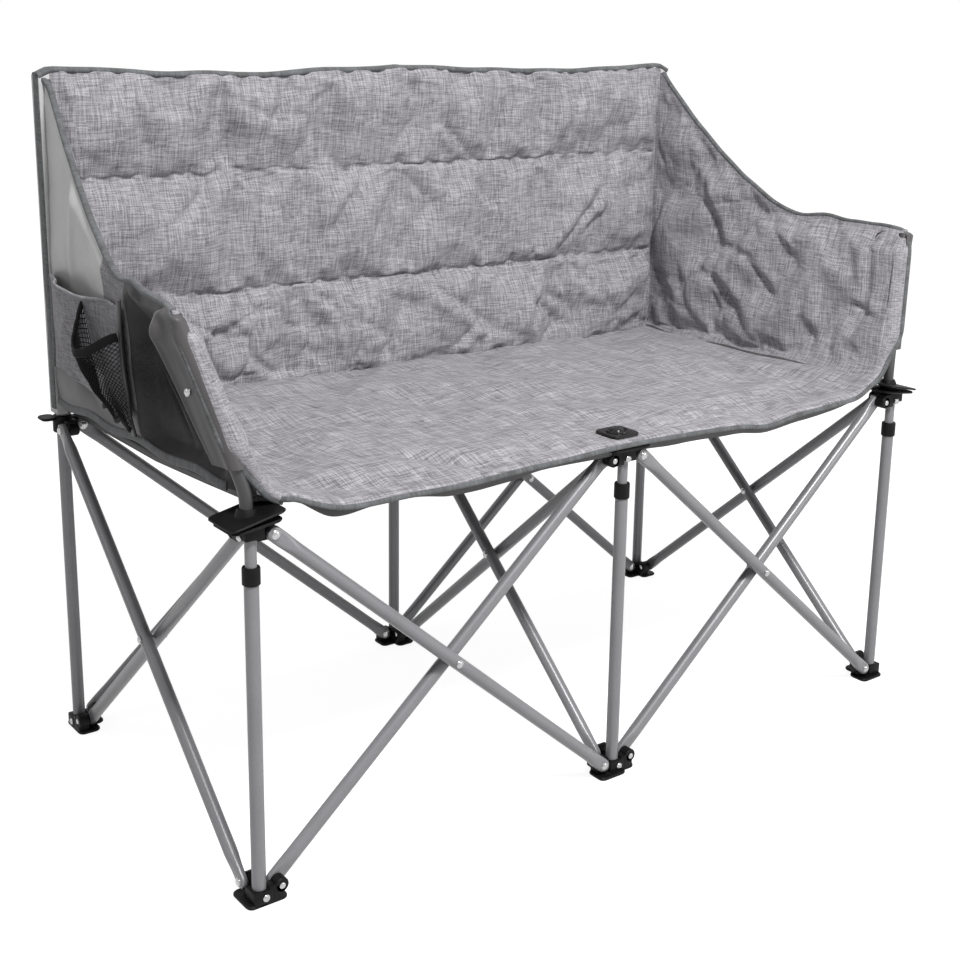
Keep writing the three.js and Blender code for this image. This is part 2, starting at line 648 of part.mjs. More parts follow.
// Inner face, padded above the seat and waved
function armInner(side) {
  return (s, v) => {
    const { out, y, z } = armPoint(s, v, -1);
    const step = THREE.MathUtils.smoothstep;
    const low = step(z, ARM_PUFF_LOW, ARM_PUFF_LOW + ARM_PUFF_RUN);
    const bell = low * step(1 - v, 0, 0.2) * step(s, 0, 0.12) * step(1 - s, 0, 0.1);
    const along = y * Math.cos(ARM_WAVE_SLANT) + z * Math.sin(ARM_WAVE_SLANT);
    const wave = ARM_WAVE * Math.sin(2 * Math.PI * along / ARM_WAVE_LENGTH);
    return new THREE.Vector3(side * (out - bell * (ARM_PUFF + wave)), y, z);
  };
}

// Outer face, with a deep fold behind the sleeve of the left arm
function armOuter(side) {
  return (s, v) => {
    const { out, y, z } = armPoint(s, v, 1);
    const { rear, front, edge } = ARM_FOLD;
    const step = THREE.MathUtils.smoothstep;
    const across = step(s, rear, rear + edge) * (1 - step(s, front - edge, front));
    const fold = side === SIDES.left ? ARM_FOLD_DEPTH * across * arch(v) ** 0.6 : 0;
    return new THREE.Vector3(side * (out - fold), y, z);
  };
}

const ARM_COLUMNS = 18;
const ARM_ROWS = 8;
for (const [word, side] of Object.entries(SIDES)) {
  const pad = padded(ARM_COLUMNS, ARM_ROWS, armInner(side), armOuter(side));
  const bore = tubeAlong(armPath(side), hole(ARM_R, ARM_SIDES), ARM_STEPS);
  const reach = ARM_TOP + CLEAR;
  const end = rod(hole(ARM_R, ARM_SIDES), reach - ARM_R, reach, ARM_SIDES);
  const { out, y } = armLine(ARM_TOP);
  addPiece(sofa, `arm_pad_${word}`, cut(pad, [bore, end.translate(side * out, y, 0)]), melange);
}

// Pocket and cup holder: cloth sewn to the left arm at its sides and lower edge, open on top

function pouchSkin(pouch, thickness) {
  return (u, v) => {
    const s = lerp(pouch.rear, pouch.front, u);
    const height = lerp(pouch.low, pouch.high, v);
    const { out, y, z } = armPoint(s, height, 1);
    const gape = pouch.gape * arch(u) ** 0.8 * arch(v / 2);
    return new THREE.Vector3(SIDES.left * (out + SEW_GAP + gape + thickness), y, z);
  };
}

const POUCH_COLUMNS = 10;
const POUCH_ROWS = 8;
const pouchPad = (pouch) =>
  padded(POUCH_COLUMNS, POUCH_ROWS, pouchSkin(pouch, 0), pouchSkin(pouch, CLOTH));
addPiece(sofa, 'side_pocket', pouchPad(POCKET), melange);
addPiece(sofa, 'cup_holder', pouchPad(CUP_HOLDER), mesh);

// Plate and domed button that hold the seat down on the front middle hub

function buttonPlate() {
  const half = BUTTON_PLATE_HALF;
  const flat = plate(-half, half, -half, half, 0, BUTTON_PLATE_THICKNESS);
  const high = BUTTON_PLATE_THICKNESS + BUTTON_HEIGHT;
  const dome = turned([[0, 0], [BUTTON_R, 0], [BUTTON_R, BUTTON_PLATE_THICKNESS + 1],
    [BUTTON_R * 0.7, high], [0, high]]);
  return join([flat, dome]);
}

const buttonY = BUTTON_PLATE_BACK - POST_Y;
const seatUnderPlate = [-1, 0, 1].map((step) => {
  const { z, half } = seatMiddle(0, buttonY + step * BUTTON_PLATE_HALF);
  return z + half;
});
const button = new THREE.Group();
button.position.set(0, buttonY, Math.max(...seatUnderPlate) + CLEAR);
sofa.add(button);
addPiece(button, 'seat_button_plate', buttonPlate(), plastic);

export default sofa;
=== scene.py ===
"""Dresses the folding camping loveseat: smooth tubes, moulded corner pieces and quilted cloth."""

import math

import bmesh
import bpy
from mathutils import Matrix, Vector, noise


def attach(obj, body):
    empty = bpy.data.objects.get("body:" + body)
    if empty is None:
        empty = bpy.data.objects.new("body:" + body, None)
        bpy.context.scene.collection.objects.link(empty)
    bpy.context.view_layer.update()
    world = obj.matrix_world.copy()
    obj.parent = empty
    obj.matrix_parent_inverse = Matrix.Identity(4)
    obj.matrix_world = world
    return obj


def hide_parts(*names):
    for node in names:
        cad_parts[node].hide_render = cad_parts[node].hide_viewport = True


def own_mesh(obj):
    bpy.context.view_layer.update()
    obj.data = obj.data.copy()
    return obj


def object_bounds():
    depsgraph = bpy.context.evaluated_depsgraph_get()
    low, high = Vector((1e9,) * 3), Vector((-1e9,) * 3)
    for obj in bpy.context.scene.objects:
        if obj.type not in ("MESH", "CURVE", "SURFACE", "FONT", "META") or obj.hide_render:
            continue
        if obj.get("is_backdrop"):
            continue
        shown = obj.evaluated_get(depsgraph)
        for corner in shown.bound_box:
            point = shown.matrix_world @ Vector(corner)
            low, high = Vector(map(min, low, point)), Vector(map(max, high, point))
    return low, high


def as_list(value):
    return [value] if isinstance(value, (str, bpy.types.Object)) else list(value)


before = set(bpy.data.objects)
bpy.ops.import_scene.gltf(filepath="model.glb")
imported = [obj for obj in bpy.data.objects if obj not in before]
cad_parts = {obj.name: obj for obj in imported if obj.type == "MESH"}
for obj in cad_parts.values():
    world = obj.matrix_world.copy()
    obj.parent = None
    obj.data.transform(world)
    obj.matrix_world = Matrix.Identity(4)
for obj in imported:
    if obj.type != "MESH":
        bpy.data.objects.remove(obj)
cad_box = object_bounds()
scene = bpy.context.scene
scene.view_settings.view_transform = "Standard"

# Sizes in metres, the same as in the solids
CELL = 0.575
POST_Y = CELL / 2
LOW_Z, HIGH_Z = 0.020, 0.476
TUBE_R, INNER_R, ARM_R = 0.009, 0.0072, 0.008
PIVOT_REACH = 0.0258
BAR_OFFSET = 0.0095
SOCKET_R, WALL = 0.014, 0.013
TOE, HEEL = 0.0354, 0.022
HUB_LOW, HUB_HIGH, HUB_TOP = 0.468, 0.489, 0.493
POST_TOP, LEG_TOP = 0.974, 0.428
TUBE_BORE, TUBE_LOW = 0.0078, 0.0064
INNER_BORE, INNER_LOW, INNER_HIGH = 0.0062, 0.0956, 0.4876
BAR_RUN = CELL - 2 * PIVOT_REACH
BAR_LENGTH = math.hypot(BAR_RUN, HIGH_Z - LOW_Z)
BAR_TILT = math.atan2(HIGH_Z - LOW_Z, BAR_RUN)

UPRIGHTS = {
    f"{row}_{column}": (ix, iy)
    for iy, row in ((-1, "front"), (1, "rear"))
    for ix, column in ((-1, "left"), (0, "center"), (1, "right"))
}
ORDER = list(UPRIGHTS)
SIDES = (("left", -1), ("right", 1))
LEFT, MIDDLE = "upright_rear_left", "upright_rear_center"
UP, ALONG_Y = (0, 0, 1), (0, 1, 0)
# The first upright of each pair carries the bar that the crossing rivet rides on
PAIRS = [
    ("rear_center", "front_center"),
    ("rear_center", "rear_left"),
    ("rear_center", "rear_right"),
    ("rear_left", "front_left"),
    ("rear_right", "front_right"),
    ("front_center", "front_left"),
    ("front_center", "front_right"),
]


def place(name):
    ix, iy = UPRIGHTS[name]
    return Vector((ix * CELL, iy * POST_Y, 0))


def lerp(a, b, t):
    return a + (b - a) * t


def clamp(t):
    return min(max(t, 0.0), 1.0)


def smooth(t):
    t = clamp(t)
    return t * t * (3 - 2 * t)


def arch(t):
    return math.sin(math.pi * clamp(t))


def wobble(x, y, z):
    return noise.noise(Vector((x, y, z)))


def shift(x, y, z):
    return Matrix.Translation((x, y, z))


def rotated(angle, axis):
    return Matrix.Rotation(angle, 4, axis)


def turn_z(angle):
    return rotated(angle, "Z")


# Materials


class Tree:
    """A node tree with a short way to add and link nodes."""

    def __init__(self, tree):
        self.tree = tree

    def add(self, kind, settings=None, **inputs):
        node = self.tree.nodes.new(kind)
        for key, value in (settings or {}).items():
            setattr(node, key, value)
        for key, value in inputs.items():
            self.feed(node.inputs[key.replace("_", " ")], value)
        return node

    def feed(self, socket, value):
        if isinstance(value, bpy.types.NodeSocket):
            self.tree.links.new(value, socket)
        else:
            socket.default_value = value

    def scaled(self, vector, x, y, z):
        return self.pair("ShaderNodeVectorMath", {"operation": "MULTIPLY"}, vector, (x, y, z))

    def noise(self, vector, scale=1.0, detail=2.0, roughness=0.5):
        return self.add(
            "ShaderNodeTexNoise", Vector=vector, Scale=scale, Detail=detail, Roughness=roughness
        ).outputs["Fac"]

    def pair(self, kind, settings, a, b):
        """Output of a node that takes two things of one kind."""
        node = self.add(kind, settings)
        self.feed(node.inputs[0], a)
        self.feed(node.inputs[1], b)
        return node.outputs[0]

    def math(self, operation, a, b):
        return self.pair("ShaderNodeMath", {"operation": operation}, a, b)

    def line(self, a, factor, base):
        return self.math("ADD", self.math("MULTIPLY", a, factor), base)

    def blend(self, a, a_share, b, b_share):
        return self.line(a, a_share, self.math("MULTIPLY", b, b_share))

    def ramp(self, fac, stops):
        node = self.add("ShaderNodeValToRGB")
        self.feed(node.inputs[0], fac)
        elements = node.color_ramp.elements
        while len(elements) < len(stops):
            elements.new(0.5)
        for element, (position, colour) in zip(elements, stops):
            element.position = position
            element.color = (*colour, 1)
        return node.outputs[0]


class Nodes(Tree):
    """A material with one principled shader."""

    def __init__(self, name):
        self.material = bpy.data.materials.new(name)
        self.material.use_nodes = True
        super().__init__(self.material.node_tree)
        self.shader = self.tree.nodes["Principled BSDF"]

    def set(self, **values):
        for key, value in values.items():
            self.shader.inputs[key.replace("_", " ")].default_value = value

    def flat(self):
        return self.add("ShaderNodeUVMap", {"uv_map": "flat"}).outputs[0]

    def spot(self):
        return self.add("ShaderNodeTexCoord").outputs["Object"]

    def bump(self, height, strength, distance):
        node = self.add("ShaderNodeBump", Height=height, Strength=strength, Distance=distance)
        self.feed(self.shader.inputs["Normal"], node.outputs[0])

    def colour(self, socket):
        self.feed(self.shader.inputs["Base Color"], socket)

    def roughness(self, socket):
        self.feed(self.shader.inputs["Roughness"], socket)


def grey(value, warm=0.0, cool=0.0):
    return (value * (1 + warm), value, value * (1 + 0.4 * warm + cool))


def threads(n, along, across, count, runs):
    """Random tone for each short run of each thread."""
    index = n.math("FLOOR", n.math("MULTIPLY", across, count), 0.0)
    shift = n.add("ShaderNodeTexWhiteNoise", {"noise_dimensions": "1D"}, W=index).outputs["Value"]
    run = n.math("FLOOR", n.blend(along, runs, shift, 40.0), 0.0)
    spot = n.add("ShaderNodeCombineXYZ", X=index, Y=run).outputs[0]
    return n.add("ShaderNodeTexWhiteNoise", {"noise_dimensions": "2D"}, Vector=spot).outputs["Value"]


def melange():
    n = Nodes("melange_cloth")
    n.set(Specular_IOR_Level=0.2, Sheen_Weight=0.12, Sheen_Roughness=0.5)
    flat = n.flat()
    wander = n.math("MULTIPLY", n.noise(flat, scale=24, detail=1), 0.004)
    axes = n.add("ShaderNodeSeparateXYZ", Vector=flat).outputs
    across, along = n.math("ADD", axes["X"], wander), n.math("ADD", axes["Y"], wander)
    warp = threads(n, along, across, 1150, 48)
    weft = threads(n, across, along, 1150, 60)
    fine = n.noise(flat, scale=1300, detail=1)
    cloud = n.noise(flat, scale=26, detail=2)
    weave = n.blend(warp, 0.5, weft, 0.5)
    tone = n.line(weave, 0.8, n.blend(fine, 0.14, cloud, 0.03))
    stops = [(0.14, 0.13), (0.34, 0.212), (0.50, 0.281), (0.66, 0.356), (0.88, 0.48)]
    n.colour(n.ramp(tone, [(at, (v, v * 0.97, v * 1.03)) for at, v in stops]))
    n.roughness(n.line(weave, 0.15, 0.78))
    n.bump(n.math("ADD", weave, fine), 0.15, 0.0005)
    return n.material


def nylon(name, value, warm=0.0, shade_oval=None, gloss=0.4):
    """Plain coated cloth; the fourth argument, when given, is the middle and the half size of an oval of
    painted shade in a hollow, in flat coordinates.
    """
    n = Nodes(name)
    n.set(Specular_IOR_Level=gloss, Sheen_Weight=0.1, Sheen_Roughness=0.4)
    flat = n.flat()
    warp = n.noise(n.scaled(flat, 900, 120, 1), detail=2)
    weft = n.noise(n.scaled(flat, 120, 900, 1), detail=2)
    weave = n.blend(warp, 0.5, weft, 0.5)
    worn = n.noise(flat, scale=9, detail=3)
    tone = n.blend(weave, 0.5, worn, 0.5)
    # Painted shade: towards the middle of the oval the cloth turns darker and loses its sheen, standing in
    # for the shadow deep in the fold.
    if shade_oval:
        n.set(Specular_IOR_Level=0.05, Sheen_Weight=0.0)
        middle, half = shade_oval
        away = n.pair("ShaderNodeVectorMath", {"operation": "SUBTRACT"}, flat, (*middle, 0))
        ball = n.add("ShaderNodeVectorMath", {"operation": "LENGTH"})
        n.feed(ball.inputs[0], n.scaled(away, 1 / half[0], 1 / half[1], 0))
        ring = n.line(worn, 0.3, ball.outputs["Value"])
        shade_fade = n.add(
            "ShaderNodeMapRange", {"interpolation_type": "SMOOTHSTEP"},
            Value=ring, From_Min=0.1, From_Max=2.0, To_Min=-0.5, To_Max=0.0,
        )
        tone = n.math("ADD", tone, shade_fade.outputs[0])
    stops = [(0.0, grey(value * 0.08)), (0.3, grey(value * 0.8, warm)), (0.7, grey(value * 1.2, warm))]
    n.colour(n.ramp(tone, stops))
    n.roughness(n.line(worn, 0.2, 0.36))
    n.bump(weave, 0.3, 0.0004)
    return n.material


def tape():
    n = Nodes("edge_tape")
    n.set(Specular_IOR_Level=0.3, Sheen_Weight=0.1)
    flat = n.flat()
    rib = n.add("ShaderNodeTexWave", {"bands_direction": "X"}, Vector=flat, Scale=160.0, Distortion=0.4)
    worn = n.noise(flat, scale=60, detail=3)
    stitch = n.noise(n.scaled(flat, 260, 30, 1), detail=1)
    tone = n.blend(worn, 0.6, stitch, 0.4)
    n.colour(n.ramp(tone, [(0.32, grey(0.06)), (0.5, (0.105, 0.109, 0.113)), (0.7, (0.165, 0.172, 0.18))]))
    n.roughness(n.line(worn, 0.2, 0.6))
    n.bump(n.math("ADD", rib.outputs["Fac"], stitch), 0.35, 0.0006)
    return n.material


def metal(name, value, metallic, low, high, cool=0.0):
    n = Nodes(name)
    n.set(Metallic=metallic)
    spot = n.spot()
    grain = n.noise(spot, scale=380, detail=3)
    cloud = n.noise(spot, scale=14, detail=3)
    tone = n.blend(grain, 0.4, cloud, 0.6)
    n.colour(n.ramp(tone, [(0.3, grey(value * 0.9, 0.01, cool)), (0.7, grey(value * 1.08, 0.01, cool))]))
    n.roughness(n.line(tone, high - low, low))
    n.bump(grain, 0.04, 0.0003)
    return n.material


def plastic(name, value, low=0.36, high=0.6, gloss=0.3):
    n = Nodes(name)
    n.set(Specular_IOR_Level=gloss)
    spot = n.spot()
    grain = n.noise(spot, scale=900, detail=2)
    scuff = n.noise(spot, scale=45, detail=4)
    n.colour(n.ramp(scuff, [(0.35, grey(value * 0.8)), (0.68, grey(value * 1.5))]))
    n.roughness(n.line(scuff, high - low, low))
    n.bump(grain, 0.2, 0.0004)
    return n.material


MELANGE = melange()
NYLON = nylon("grey_nylon", 0.55)
# Copy of the grey nylon with a taupe tint, made much darker as painted shade; used for the lower skirts, the
# sleeves, the seat apron and the strip.
NYLON_TAUPE_SHADED = nylon("taupe_nylon_painted_shade", 0.07, 0.05, gloss=0.3)
NYLON_DARK = nylon("dark_nylon", 0.03, gloss=0.2)
# Dark nylon for the left arm's front, with an oval of painted shade where the fold is deepest.
NYLON_FOLD_SHADE = nylon("fold_nylon_painted_shade", 0.08, 0.05, ((0.445, 0.612), (0.075, 0.12)))
TAPE = tape()
SILVER = metal("silver_paint", 0.21, 0.1, 0.28, 0.38, 0.05)
ZINC = metal("zinc_plate", 0.42, 1.0, 0.2, 0.34)
DARK_TUBE = metal("dark_paint", 0.05, 0.3, 0.35, 0.5)
BLACK = plastic("black_plastic", 0.005, 0.4, 0.6, 0.12)
GLOSSY = plastic("glossy_plastic", 0.006, 0.2, 0.3, 0.3)
NET = plastic("black_net", 0.005, 0.55, 0.8, 0.06)
ELASTIC = plastic("black_elastic", 0.007, 0.6, 0.8, 0.08)

# Shapes


class Form:
    """Points and faces of one piece, with a material and flat cloth coordinates for each face."""

    def __init__(self):
        self.points, self.faces, self.materials, self.flat, self.slots = [], [], [], [], []

    def add(self, shape, material, move=None, flat=None):
        points, faces = shape
        base = len(self.points)
        self.points += [move @ Vector(p) if move else Vector(p) for p in points]
        if material not in self.slots:
            self.slots.append(material)
        for face in faces:
            self.faces.append([base + i for i in face])
            self.materials.append(self.slots.index(material))
            self.flat.append([flat[i] if flat else (0.0, 0.0) for i in face])
        return self

    def piece(self, name, body, slot, replaces=(), angle=38):
        mesh = bpy.data.meshes.new(name)
        mesh.from_pydata(self.points, [], self.faces)
        for material in self.slots:
            mesh.materials.append(material)
        mesh.polygons.foreach_set("material_index", self.materials)
        layer = mesh.uv_layers.new(name="flat")
        layer.data.foreach_set("uv", [c for face in self.flat for corner in face for c in corner])
        mesh.shade_smooth()
        mesh.set_sharp_from_angle(angle=math.radians(angle))
        mesh.update()
        obj = bpy.data.objects.new(name, mesh)
        scene.collection.objects.link(obj)
        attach(obj, body)
        if replaces:
            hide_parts(*replaces)
        return obj


def lathe(profile, sides=28):
    """Solid of revolution about Z from (radius, height) pairs; a radius of 0 is a pole."""
    points, rings = [], []
    for r, z in profile:
        if r == 0:
            rings.append([len(points)])
            points.append((0, 0, z))
        else:
            rings.append(list(range(len(points), len(points) + sides)))
            points += [
                (r * math.cos(2 * math.pi * i / sides), r * math.sin(2 * math.pi * i / sides), z)
                for i in range(sides)
            ]
    faces = []
    for low, high in zip(rings, rings[1:]):
        for i in range(sides):
            j = (i + 1) % sides
            face = [low[i % len(low)], low[j % len(low)], high[j % len(high)], high[i % len(high)]]
            face = [p for k, p in enumerate(face) if p != face[k - 1]]
            if len(face) > 2:
                faces.append(face)
    return points, faces


def ring_profile(inner, outer, low, high, lip=0.0006):
    return [
        (inner, low), (outer - lip, low), (outer, low + lip), (outer, high - lip), (outer - lip, high),
        (inner, high), (inner, low),
    ]


def rod_profile(r, low, high, lip=0.0006):
    return [(0, low), (r - lip, low), (r, low + lip), (r, high - lip), (r - lip, high), (0, high)]


def sweep(rings):
    """Skin over rings of points, closed at both ends."""
    sides = len(rings[0])
    points = [p for ring in rings for p in ring]
    faces = [list(range(sides))[::-1], [len(points) - sides + i for i in range(sides)]]
    for k in range(len(rings) - 1):
        for i in range(sides):
            a, b = k * sides + i, k * sides + (i + 1) % sides
            faces.append([a, b, b + sides, a + sides])
    return points, faces


def block(low, high, bevel=0.0015):
    """Box with rounded edges."""
    shape = bmesh.new()
    bmesh.ops.create_cube(shape, size=1)
    size = [h - l for l, h in zip(low, high)]
    bmesh.ops.scale(shape, vec=size, verts=shape.verts)
    bmesh.ops.translate(shape, vec=[(l + h) / 2 for l, h in zip(low, high)], verts=shape.verts)
    bmesh.ops.bevel(
        shape, geom=list(shape.edges), offset=bevel, offset_type="OFFSET", segments=2, profile=0.5,
        affect="EDGES",
    )
    points = [v.co.copy() for v in shape.verts]
    faces = [[v.index for v in f.verts] for f in shape.faces]
    shape.free()
    return points, faces


def outline(left, right, front, rear, r, inset=0.0, steps=6):
    left, right, front, rear, r = left + inset, right - inset, front + inset, rear - inset, r - inset
    corners = [
        (right - r, front + r, -90), (right - r, rear - r, 0),
        (left + r, rear - r, 90), (left + r, front + r, 180),
    ]
    points = []
    for x, y, start in corners:
        for i in range(steps + 1):
            turn = math.radians(start + 90 * i / steps)
            points.append((x + r * math.cos(turn), y + r * math.sin(turn)))
    return points


def slab(left, right, front, rear, low, high, r=0.010, bevel=0.0012):
    """Plate with rounded corners and softened edges."""
    stack = [(bevel, low), (0, low + bevel), (0, high - bevel), (bevel, high)]
    return sweep([[(x, y, z) for x, y in outline(left, right, front, rear, r, inset)] for inset, z in stack])


def superellipse(x, half_width, half_thickness, power, sides=24):
    ring = []
    for i in range(sides):
        turn = 2 * math.pi * i / sides
        c, s = math.cos(turn), math.sin(turn)
        y = half_thickness * math.copysign(abs(c) ** power, c)
        z = half_width * math.copysign(abs(s) ** power, s)
        ring.append((x, y, z))
    return ring


def screw_head(r, slot_turn=0.4):
    """Domed screw head with a cross recess, facing +Z from z = 0."""
    shares = ((1, 0.25), (0.8, 0.5), (0.45, 0.62), (0, 0.62))
    form = [lathe([(0, -0.001), (r, -0.001)] + [(r * a, r * b) for a, b in shares], 20)]
    for k in range(2):
        points, faces = block((-r * 0.6, -r * 0.11, r * 0.45), (r * 0.6, r * 0.11, r * 0.655), r * 0.03)
        spin = turn_z(slot_turn + k * math.pi / 2)
        form.append(([spin @ Vector(p) for p in points], faces))
    return form


def dome(r, height):
    shares = ((0.98, 0.35), (0.78, 0.75), (0.4, 0.97), (0, 1))
    return lathe([(0, -0.0008), (r, -0.0008)] + [(r * a, height * b) for a, b in shares], 20)


# Frame: feet, hubs, sliders and tubes


def neighbours(name):
    ix, iy = UPRIGHTS[name]
    for other, (ox, oy) in UPRIGHTS.items():
        dx, dy = ox - ix, (oy - iy) // 2
        if abs(dx) + abs(dy) == 1:
            yield other, math.atan2(dy, dx)


def plate_sides(name, heel):
    ix, iy = UPRIGHTS[name]
    return (
        -(TOE if ix > -1 else heel), TOE if ix < 1 else heel,
        -(TOE if iy > 0 else HEEL), TOE if iy < 0 else HEEL,
    )


def add_wall(form, base, angle, side, pivot_z, low, high):
    """Flat wall beside a bar end, with the rivet through both."""
    spin = Matrix.Translation(base) @ turn_z(angle)
    inner, outer = side * 0.0041, side * (0.0005 - WALL)
    near, far = min(inner, outer), max(inner, outer)
    form.add(block((SOCKET_R - 0.006, near, low), (PIVOT_REACH + 0.004, far, high), 0.0016), BLACK, spin)
    lay = spin @ shift(PIVOT_REACH, 0, pivot_z) @ rotated(-math.pi / 2, "X")
    form.add(lathe(rod_profile(0.0096, near, far, 0.0016)), BLACK, lay)
    if side < 0:
        lay = lay @ rotated(math.pi, "X")
    form.add(lathe(rod_profile(0.003, -0.002, 0.0155), 16), ZINC, lay)
    form.add(dome(0.0056, 0.0026), ZINC, lay @ shift(0, 0, 0.0149))
    form.add(lathe(ring_profile(0.0031, 0.0062, 0.0142, 0.0150, 0.0002), 20), ZINC, lay)
    back = lay @ rotated(math.pi, "X") @ shift(0, 0, WALL - 0.0005)
    form.add(dome(0.0042, 0.0018), ZINC, back)


def add_face_screw(form, base, angle, side, x, z, r):
    """Screw in the face of a wall that is turned away from the bar."""
    face = Matrix.Translation(base) @ turn_z(angle) @ Matrix.Translation((x, -side * (WALL - 0.0002), z))
    for shape in screw_head(r):
        form.add(shape, ZINC, face @ rotated(side * math.pi / 2, "X"))


def foot(name):
    base = place(name)
    at = Matrix.Translation(base)
    form = Form()
    form.add(block((-WALL, -WALL, 0.001), (WALL, WALL, 0.0205), 0.002), BLACK, at)
    for k, (_, angle) in enumerate(neighbours(name)):
        sole = slab(-WALL, TOE, -WALL, 0.021, 0.0, 0.0046 + 0.0002 * k, 0.009, 0.0014)
        form.add(sole, BLACK, at @ turn_z(angle))
        add_wall(form, base, angle, 1, LOW_Z, 0.002, 0.0235)
        add_face_screw(form, base, angle, 1, 0.003, 0.0115, 0.0048)
    form.piece(f"foot_moulding_{name}", f"upright_{name}", "black_plastic", [f"foot_{name}"])


def add_upper_walls(form, name):
    for _, angle in neighbours(name):
        add_wall(form, place(name), angle, -1, HIGH_Z, HIGH_Z - 0.0086, HUB_HIGH - 0.0004)


def hub(name):
    ix, _ = UPRIGHTS[name]
    at = Matrix.Translation(place(name))
    left, right, front, rear = plate_sides(name, 0.033)
    form = Form()
    form.add(block((-WALL, -WALL, HUB_LOW + 0.005), (WALL, WALL, HUB_HIGH + 0.001), 0.0018), BLACK, at)
    for _, angle in neighbours(name):
        add_face_screw(form, place(name), angle, -1, 0.002, HIGH_Z - 0.0005, 0.0048)
    add_upper_walls(form, name)
    deck = at @ shift(0, 0, HUB_HIGH) @ rotated(math.radians(7) * ix, "Y")
    form.add(slab(left, right, front, rear, 0, 0.0036, 0.011, 0.0013), BLACK, deck)
    if ix:
        lift = at @ shift(0, 0, HUB_TOP + 0.0045) @ rotated(math.radians(12) * ix, "Y")
        upper = slab(left - 0.003, right + 0.003, front - 0.003, rear + 0.006, 0, 0.0028, 0.009, 0.001)
        form.add(upper, BLACK, lift)
        ring = [
            (0.0092, HUB_TOP - 0.001), (0.0160, HUB_TOP - 0.001), (0.0145, HUB_TOP + 0.004),
            (0.0118, HUB_TOP + 0.0115), (0.0104, HUB_TOP + 0.014), (0.0092, HUB_TOP + 0.014),
            (0.0092, HUB_TOP - 0.001),
        ]
        form.add(lathe(ring), BLACK, at @ shift(0, 0.008, 0))
    form.piece(f"hub_moulding_{name}", f"head_{name}", "black_plastic", [f"hub_{name}"])


def slider(name):
    ix, _ = UPRIGHTS[name]
    at = Matrix.Translation(place(name))
    form = Form()
    form.add(lathe(ring_profile(0.0096, SOCKET_R, HUB_LOW, HUB_TOP, 0.0014)), BLACK, at)
    add_upper_walls(form, name)
    if ix:
        tab = slab(0.0115, 0.034, -0.015, 0.015, HUB_HIGH, HUB_TOP, 0.009, 0.0013)
        form.add(tab, BLACK, at @ turn_z(0 if ix > 0 else math.pi))
    form.piece(f"slider_moulding_{name}", f"head_{name}", "black_plastic", [f"slider_{name}"])


def uprights():
    for name, (ix, iy) in UPRIGHTS.items():
        at = Matrix.Translation(place(name))
        foot(name)
        if iy < 0:
            hub(name)
            tube = Form().add(lathe(ring_profile(TUBE_BORE, TUBE_R, TUBE_LOW, LEG_TOP)), SILVER, at)
            tube.piece(f"lower_tube_{name}", f"upright_{name}", "silver_tube", [f"leg_tube_{name}"])
            low, high = LEG_TOP - 0.012, LEG_TOP + 0.010
            collar = Form().add(lathe([
                (0.0093, low), (0.0102, low), (0.0110, low + 0.001), (0.0110, high - 0.0016), (0.0104, high),
                (0.0075, high), (0.0075, LEG_TOP + 0.0006), (0.0093, LEG_TOP + 0.0006), (0.0093, low),
            ]), BLACK, at)
            collar.piece(f"collar_{name}", f"upright_{name}", "black_plastic", [f"leg_collar_{name}"])
            inner = Form().add(lathe(ring_profile(INNER_BORE, INNER_R, INNER_LOW, INNER_HIGH)), SILVER, at)
            inner.piece(f"sliding_tube_{name}", f"head_{name}", "silver_tube", [f"inner_tube_{name}"])
        else:
            slider(name)
            tube = Form().add(lathe(ring_profile(TUBE_BORE, TUBE_R, TUBE_LOW, POST_TOP)), SILVER, at)
            tube.piece(f"post_tube_{name}", f"upright_{name}", "silver_tube", [f"post_{name}"])
            cap = Form().add(lathe([
                (0, POST_TOP - 0.014), (0.0072, POST_TOP - 0.014), (0.0074, POST_TOP + 0.0003),
                (TUBE_R, POST_TOP + 0.0004), (TUBE_R, POST_TOP + 0.002), (0.0068, POST_TOP + 0.0038),
                (0, POST_TOP + 0.0044),
            ]), BLACK, at)
            cap.piece(f"post_plug_{name}", f"upright_{name}", "black_plastic", [f"post_cap_{name}"])


def bar_shape():
    rings, tip = [], 0.0098
    for share in (0.94, 0.84, 0.66, 0.41, 0.14):
        width = tip * math.sqrt(1 - share ** 2)
        rings.append(superellipse(-tip * share, width, 0.005 - 0.0006 * share ** 6, 0.5))
    for step in range(11):
        w = smooth(step / 10)
        x = lerp(0.010, 0.040, step / 10)
        rings.append(superellipse(x, lerp(tip, TUBE_R, w), lerp(0.005, TUBE_R, w), lerp(0.5, 1.0, w)))
    mirrored = [[(BAR_LENGTH - x, y, z) for x, y, z in ring] for ring in reversed(rings)]
    return sweep(rings + mirrored)


